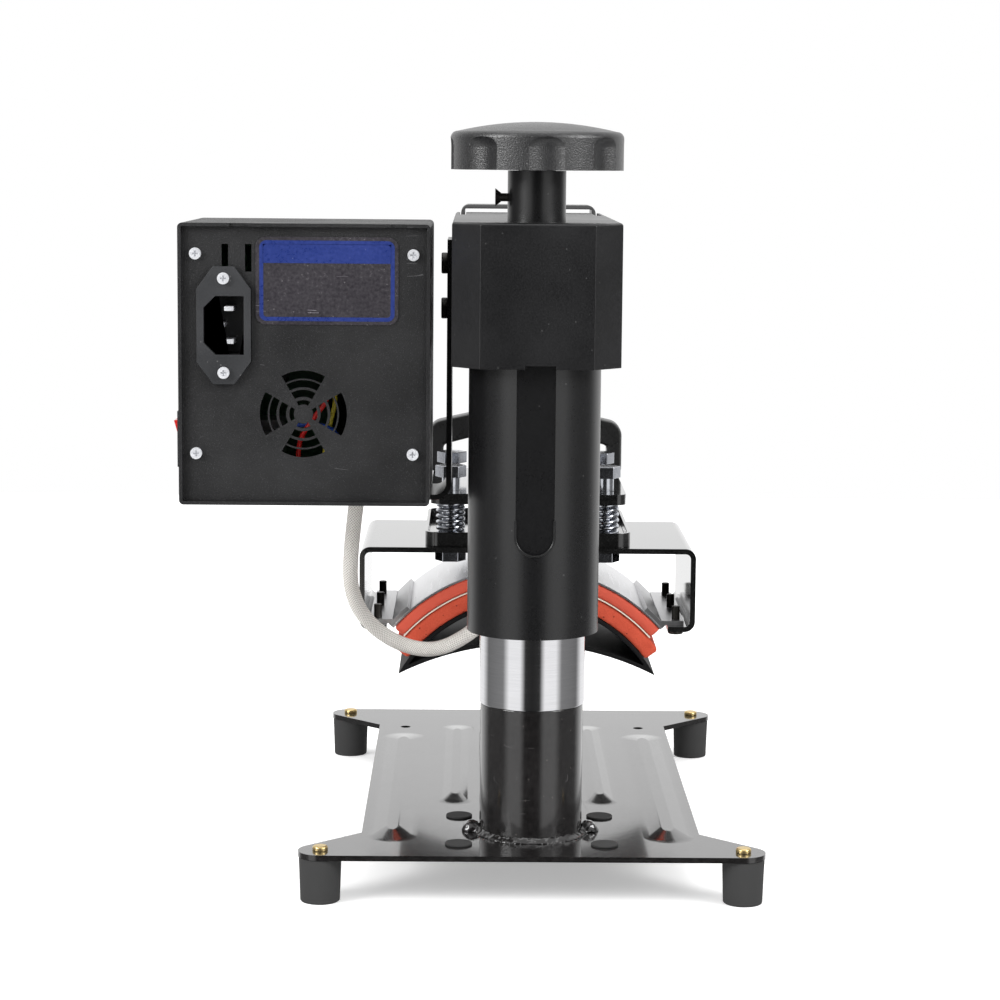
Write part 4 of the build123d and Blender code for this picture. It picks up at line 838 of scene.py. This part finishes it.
@dataclass
class BaseAndColumn:
    """Pressed base plate on its feet, with the post, the bright tube and the weld."""

    shop: Workshop
    rib_slope_share: float = 0.36
    rib_end: float = 14.0
    rib_foot_round: float = 2.0
    rib_foot_steps: int = 5
    rib_top_round: float = 0.6
    rib_top_steps: int = 3
    rib_top_band: float = 0.1
    level_above: float = 0.99
    sheet_edge: float = 0.5
    sheet_turn: float = 60
    bead_noise: float = 1.4
    bead_size: float = 5.0
    bead_voxel: float = 0.5
    bead_sink: float = 0.75
    bead_turn: float = 80

    def build(self) -> None:
        """Make the base's pieces."""
        self.plate()
        self.weld()
        self.shop.rounded("rubber_feet", Look.RUBBER, 0.7, 3)
        self.shop.rounded("foot_screws", Look.BRASS, 0.25)
        self.shop.rounded("hole_plugs", Look.RUBBER, 0.3, 3)
        self.shop.rounded("column_post", Look.GLOSS_COAT, 0.6, 3)
        self.shop.rounded("column_tube", Look.CHROME, 0.4)
        self.shop.rounded("lift_nut", Look.TURNED_STEEL, 0.3)

    def plate(self) -> None:
        """Slope the raised ribs of the plate as a press does, and round its edges."""
        piece = self.shop.copy("base_plate")
        for index in self.rib_tops(piece):
            spots = [piece.data.vertices[corner].co for corner in piece.data.polygons[index].vertices]
            low = [min(spot[axis] for spot in spots) for axis in range(3)]
            high = [max(spot[axis] for spot in spots) for axis in range(3)]
            slopes = (self.rib_slope_share * (high[0] - low[0]), self.rib_end * MM)
            shrink = [1 - 2 * slopes[axis] / (high[axis] - low[axis]) for axis in (0, 1)]
            edit_faces(piece, [index])
            bpy.ops.transform.resize(value=(*shrink, 1),
                                     center_override=[(a + b) / 2 for a, b in zip(low, high)])
            leave_edit()
        edit_faces(piece, self.rib_tops(piece))
        bpy.ops.mesh.select_more()
        bpy.ops.mesh.region_to_loop()
        bpy.ops.mesh.bevel(offset=self.rib_foot_round * MM, segments=self.rib_foot_steps, affect="EDGES")
        leave_edit()
        edit_faces(piece, self.rib_tops(piece))
        bpy.ops.mesh.bevel(offset=self.rib_top_round * MM, segments=self.rib_top_steps, affect="EDGES")
        leave_edit()
        round_edges(piece, self.sheet_edge, above=self.sheet_turn)
        self.shop.hang(piece, Look.GLOSS_COAT, "base_plate", replaces=True)

    def rib_tops(self, piece: bpy.types.Object) -> list[int]:
        """Find the faces on the ribs' tops.

        Args:
            piece: The plate.

        Returns:
            Their indices.
        """
        top = max(corner.co.z for corner in piece.data.vertices)
        return [face.index for face in piece.data.polygons
                if face.normal.z > self.level_above and face.center.z > top - self.rib_top_band * MM]

    def weld(self) -> None:
        """Lumpy weld bead round the post's foot."""
        piece = self.shop.copy("column_weld")
        finish_with(piece, "REMESH", mode="VOXEL", voxel_size=self.bead_voxel * MM)
        lumps = bpy.data.textures.new("bead_lumps", "CLOUDS")
        lumps.noise_scale = self.bead_size * MM
        finish_with(piece, "DISPLACE", texture=lumps, texture_coords="LOCAL",
                    strength=self.bead_noise * MM, mid_level=self.bead_sink)
        smooth(piece, self.bead_turn)
        self.shop.hang(piece, Look.GLOSS_COAT, "column_weld", replaces=True)


@dataclass
class SoftArch:
    """A curved soft mat with rounded, slightly uneven sides."""

    shop: Workshop
    node: str
    finish: Finish
    unevenness: float
    voxel: float = 1.4
    edge: float = 0.5
    wave: float = 12.0
    soften: float = 0.5
    soften_rounds: int = 2
    turn: float = 70

    def build(self) -> None:
        """Replace the mat's node by the soft mat."""
        piece = self.shop.copy(self.node)
        round_edges(piece, self.edge)
        finish_with(piece, "REMESH", mode="VOXEL", voxel_size=self.voxel * MM)
        finish_with(piece, "SMOOTH", factor=self.soften, iterations=self.soften_rounds)
        waves = bpy.data.textures.new(f"{self.node}_waves", "CLOUDS")
        waves.noise_scale = self.wave * MM
        finish_with(piece, "DISPLACE", texture=waves, texture_coords="LOCAL",
                    strength=self.unevenness * MM, mid_level=1.0)
        smooth(piece, self.turn)
        self.shop.hang(piece, self.finish, self.node, replaces=True)


@dataclass
class Platen:
    """Curved cap platen on its post, with the soft pad over it."""

    shop: Workshop
    unevenness: float = 0.25

    def build(self) -> None:
        """Make the platen's pieces."""
        self.shop.rounded("platen_post", Look.PLATEN_COAT, 0.6)
        self.shop.rounded("post_screws", Look.ZINC, 0.3)
        self.shop.rounded("platen_frame", Look.PLATEN_COAT, 0.5)
        SoftArch(self.shop, "platen_pad", Look.RED_SPONGE, self.unevenness).build()


@dataclass
class Arm:
    """Sleeve, head cover and the frame in it, with the collar and the knob."""

    shop: Workshop
    sleeve_radius: float = 28.5
    panel_half_width: float = 8.25
    panel_end: float = 148.0
    groove_leg: float = 7.0
    groove_bead: float = 0.55
    groove_steps: int = 24

    def build(self) -> None:
        """Make the arm's and the knob's pieces."""
        self.groove()
        self.shop.rounded("arm_sleeve", Look.ARM_COAT, 0.9, 3)
        self.shop.rounded("head_cover", Look.HEAD_COAT, 0.45)
        self.shop.rounded("arm_frame", Look.ARM_COAT, 0.5)
        self.shop.rounded("thrust_bush", Look.BRONZE, 0.3)
        self.shop.rounded("ram_bush", Look.BRONZE, 0.3)
        self.shop.rounded("knob_collar", Look.ARM_COAT, 0.6, 3)
        self.shop.rounded("lock_screw", Look.BLACK_SCREW, 0.3)
        self.shop.rounded("adjust_screw", Look.TURNED_STEEL, 0.3)
        self.shop.rounded("hand_knob", Look.KNOB_PLASTIC, 0.9, 3)

    def groove(self) -> None:
        """Fine raised bead round the lower end of the sleeve's pressed panel."""
        half = self.panel_half_width
        centre = self.panel_end + half
        spots = [(-half, centre + self.groove_leg)]
        for step in range(self.groove_steps + 1):
            angle = math.pi * (1 + step / self.groove_steps)
            spots.append((half * math.cos(angle), centre + half * math.sin(angle)))
        spots.append((half, centre + self.groove_leg))
        route = [self.shop.at(x, -math.sqrt(self.sleeve_radius**2 - x**2), z) for x, z in spots]
        piece = tube("panel_end_bead", route, self.groove_bead, flowing=False)
        self.shop.hang(piece, Look.ARM_COAT, "arm_sleeve")


@dataclass
class ControlBox:
    """Sheet box with its back plate, inlet, switch, label and wiring."""

    shop: Workshop
    frame_inset: float = 1.6
    frame_width: float = 1.7
    frame_corner: float = 3.0
    header_share: float = 0.3
    header_lap: float = 0.2
    print_height: float = 0.08
    wire_radius: float = 1.1
    wires: tuple[tuple[str, Finish, tuple[Point, ...]], ...] = (
        ("wire_red", Look.WIRE_RED,
         ((-101, 4, 178), (-104, 6, 190), (-96, 3, 203), (-87, 5, 214), (-91, 14, 235))),
        ("wire_blue", Look.WIRE_BLUE,
         ((-118, 6, 190), (-108, 9, 199), (-94, 6, 201), (-84, 8, 196), (-78, 14, 180))),
        ("wire_yellow", Look.WIRE_YELLOW,
         ((-92, 9, 182), (-89, 10, 200), (-85, 8, 214), (-92, 12, 238))),
    )

    def build(self) -> None:
        """Make the box's pieces."""
        for node, finish, width in (
            ("control_shell", Look.BOX_COAT, 0.5),
            ("control_back_plate", Look.BOX_COAT, 0.3),
            ("control_front_panel", Look.BOX_COAT, 0.3),
            ("back_screws", Look.ZINC_SCREW, 0.25),
            ("mains_inlet", Look.BLACK_PLASTIC, 0.6),
            ("inlet_pins", Look.ZINC_SCREW, 0.25),
            ("inlet_screws", Look.ZINC_SCREW, 0.25),
            ("rating_plate", Look.LABEL_FILM, 0.15),
            ("switch_frame", Look.BLACK_PLASTIC, 0.4),
            ("power_rocker", Look.RED_PLASTIC, 0.4),
            ("circuit_board", Look.BOARD, 0.2),
            ("relay", Look.BLACK_PLASTIC, 0.5),
            ("transformer", Look.TURNED_STEEL, 0.6),
            ("display_window", Look.GLOSS_BLACK, 0.2),
            ("panel_key_1", Look.GREY_PLASTIC, 0.4),
            ("panel_key_2", Look.GREY_PLASTIC, 0.4),
            ("panel_key_3", Look.RED_PLASTIC, 0.4),
            ("box_bracket", Look.ARM_COAT, 0.5),
            ("bracket_screws", Look.BLACK_SCREW, 0.6),
        ):
            self.shop.rounded(node, finish, width)
        self.label_print()
        self.wiring()

    def label_print(self) -> None:
        """Blank printed frame and header on the rating plate."""
        low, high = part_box("rating_plate")
        inset = self.frame_inset * MM
        inside = (self.frame_inset + self.frame_width - self.header_lap) * MM
        self.panel("label_header", (low.x + inside, high.x - inside),
                   (high.z - (high.z - low.z) * self.header_share, high.z - inside), low.y, 0.0)
        self.panel("label_frame", (low.x + inset, high.x - inset), (low.z + inset, high.z - inset), low.y,
                   self.frame_width)

    def panel(self, name: str, across: tuple[float, float], upright: tuple[float, float], face: float,
              border: float) -> None:
        """Thin printed shape on a face that looks back.

        Args:
            name: The piece's name.
            across: Its limits in X, in metres.
            upright: Its limits in Z, in metres.
            face: Y of the face under it, in metres.
            border: Width of the printed border in millimetres, or 0 for a filled shape.
        """
        centre = (sum(across) / 2, face, sum(upright) / 2)
        bpy.ops.object.select_all(action="DESELECT")
        bpy.ops.mesh.primitive_plane_add(size=1, location=centre, rotation=(math.pi / 2, 0, 0))
        piece = bpy.context.object
        piece.name = name
        piece.scale = (across[1] - across[0], upright[1] - upright[0], 1)
        bpy.ops.object.transform_apply(location=True, rotation=True, scale=True)
        edit(piece)
        if border:
            bpy.ops.mesh.bevel(offset=self.frame_corner * MM, segments=6, affect="VERTICES")
            bpy.ops.mesh.select_all(action="SELECT")
            bpy.ops.mesh.inset(thickness=border * MM, use_boundary=True)
            bpy.ops.mesh.delete(type="FACE")
        leave_edit()
        finish_with(piece, "SOLIDIFY", thickness=2 * self.print_height * MM, offset=0.0)
        round_edges(piece, self.print_height / 2)
        self.shop.hang(piece, Look.LABEL_BLUE, "rating_plate")

    def wiring(self) -> None:
        """Three insulated wires that pass behind the grille."""
        for name, finish, route in self.wires:
            piece = tube(name, [self.shop.at(*spot) for spot in route], self.wire_radius)
            self.shop.hang(piece, finish, "circuit_board")


@dataclass
class Lever:
    """Bail lever with its grip, and the toggle that it drives."""

    shop: Workshop

    def build(self) -> None:
        """Make the lever's, the toggle's and the ram's pieces."""
        for node, finish, width in (
            ("lever_bail", Look.ARM_COAT, 0.5),
            ("lever_grip", Look.RUBBER, 0.5),
            ("lever_shaft", Look.TURNED_STEEL, 0.4),
            ("toggle_crank", Look.TURNED_STEEL, 0.4),
            ("knee_pin", Look.ZINC, 0.3),
            ("toggle_links", Look.TURNED_STEEL, 0.4),
            ("ram_pin", Look.ZINC, 0.3),
            ("ram", Look.TURNED_STEEL, 0.4),
        ):
            self.shop.rounded(node, finish, width)


@dataclass
class Heater:
    """Press plate, grab handle, springs, bracket, arched heater and its edge strips."""

    shop: Workshop
    unevenness: float = 0.2
    arch_height: float = 36.0
    mat_back: float = 110.0
    mat_front: float = 195.0
    lining_radius: float = 79.0
    lining_thickness: float = 0.5
    lining_half_angle: float = 48.4
    lining_overhang: float = 0.3
    lining_steps: int = 60
    coil_radius: float = 6.0
    wire_radius: float = 1.0
    coils: int = 6
    steps_a_coil: int = 24
    closed_coil: float = 0.75
    closed_rise: float = 2.05
    spring_turn: float = 60
    float_travel: float = 4.0

    def build(self) -> None:
        """Make the heater's pieces."""
        for node, finish, width in (
            ("press_plate", Look.BRACKET_COAT, 0.6),
            ("grab_handle", Look.HANDLE_PLASTIC, 1.6),
            ("heater_frame", Look.BRACKET_COAT, 0.5),
            ("spring_tray", Look.BRACKET_COAT, 0.5),
            ("spring_bolts", Look.ZINC, 0.5),
            ("heater_shell", Look.SHELL_METAL, 0.2),
            ("edge_clamps", Look.ALUMINIUM, 0.25),
            ("clamp_screws", Look.BLACK_SCREW, 0.4),
            ("cable_gland", Look.GREY_PLASTIC, 0.6),
        ):
            self.shop.rounded(node, finish, width)
        SoftArch(self.shop, "heater_mat", Look.RED_SILICONE, self.unevenness).build()
        self.lining()
        self.springs()

    def lining(self) -> None:
        """Pale cloth on the mat's inner side, which shows as a thin line at the ends."""
        steps = self.lining_steps
        spots = []
        for radius in (self.lining_radius, self.lining_radius - self.lining_thickness):
            for y in (self.mat_back - self.lining_overhang, self.mat_front + self.lining_overhang):
                for step in range(steps + 1):
                    angle = math.radians(self.lining_half_angle) * (2 * step / steps - 1)
                    spots.append(self.shop.at(radius * math.sin(angle), y,
                                              self.arch_height + radius * math.cos(angle)))
        row = steps + 1
        rings = [(0, 1), (1, 3), (3, 2), (2, 0)]
        faces = [(a * row + step, a * row + step + 1, b * row + step + 1, b * row + step)
                 for a, b in rings for step in range(steps)]
        faces += [(0, row, 3 * row, 2 * row), (steps, 2 * row + steps, 3 * row + steps, row + steps)]
        data = bpy.data.meshes.new("mat_lining")
        data.from_pydata(spots, [], faces)
        piece = place_in_scene("mat_lining", data)
        edit(piece)
        bpy.ops.mesh.normals_make_consistent(inside=False)
        leave_edit()
        smooth(piece)
        self.shop.hang(piece, Look.LINING, "heater_mat")

    def springs(self) -> None:
        """Four wound springs with closed ends."""
        low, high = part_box("pressure_springs")
        reach = (self.coil_radius + self.wire_radius) * MM
        height = (high.z - low.z) / MM
        feet = [(x, y, low.z) for x in (low.x + reach, high.x - reach)
                for y in (low.y + reach, high.y - reach)]
        pieces = [self.spring(f"spring_{number}", foot, height)
                  for number, foot in enumerate(feet, start=1)]
        bpy.ops.object.select_all(action="DESELECT")
        for piece in pieces:
            piece.select_set(True)
        bpy.context.view_layer.objects.active = pieces[0]
        bpy.ops.object.convert(target="MESH")
        bpy.ops.object.join()
        springs = bpy.context.object
        springs.name = "pressure_coils"
        smooth(springs, self.spring_turn)
        self.shop.dress(springs, Look.ZINC)
        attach(springs, "press")
        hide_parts("pressure_springs")
        log.info("%s rides on press", springs.name)
        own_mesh(springs)

    def spring(self, name: str, foot: Point, height: float) -> bpy.types.Object:
        """Wind one spring.

        Args:
            name: The spring's name.
            foot: Centre of its lower end, in metres.
            height: Its height, in millimetres.

        Returns:
            The spring.
        """
        x, y, z = foot
        radius = self.coil_radius * MM
        route = []
        for step in range(self.coils * self.steps_a_coil + 1):
            turns = step / self.steps_a_coil
            angle = math.tau * turns
            rise = self.wire_radius + self.climb(turns, height - 2 * self.wire_radius)
            turned = (radius * math.cos(angle), radius * math.sin(angle))
            route.append(Vector((x + turned[0], y + turned[1], z + rise * MM)))
        return tube(name, route, self.wire_radius, flowing=False)

    def climb(self, turns: float, height: float) -> float:
        """Rise of a spring's wire after some turns, slow in the closed end coils.

        Args:
            turns: Turns from the lower end.
            height: The whole rise of the wire's centre line, in millimetres.

        Returns:
            The rise, in millimetres.
        """
        ends = self.closed_coil * self.closed_rise
        middle_turns = self.coils - 2 * self.closed_coil
        if turns < self.closed_coil:
            return turns * self.closed_rise
        if turns > self.coils - self.closed_coil:
            return height - (self.coils - turns) * self.closed_rise
        return ends + (turns - self.closed_coil) / middle_turns * (height - 2 * ends)


def main() -> None:
    """Build the studio and every sub-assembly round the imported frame."""
    logging.basicConfig(level=logging.INFO, format="%(message)s")
    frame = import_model()
    shop = Workshop(frame)
    Studio().build()
    for assembly in (HeaterCable, BaseAndColumn, Platen, Arm, ControlBox, Lever, Heater):
        assembly(shop).build()
    for name, node in shop.nodes.items():
        if not node.hide_render:
            log.info("%s is shown as it was packed", name)


if __name__ == "__main__":
    main()
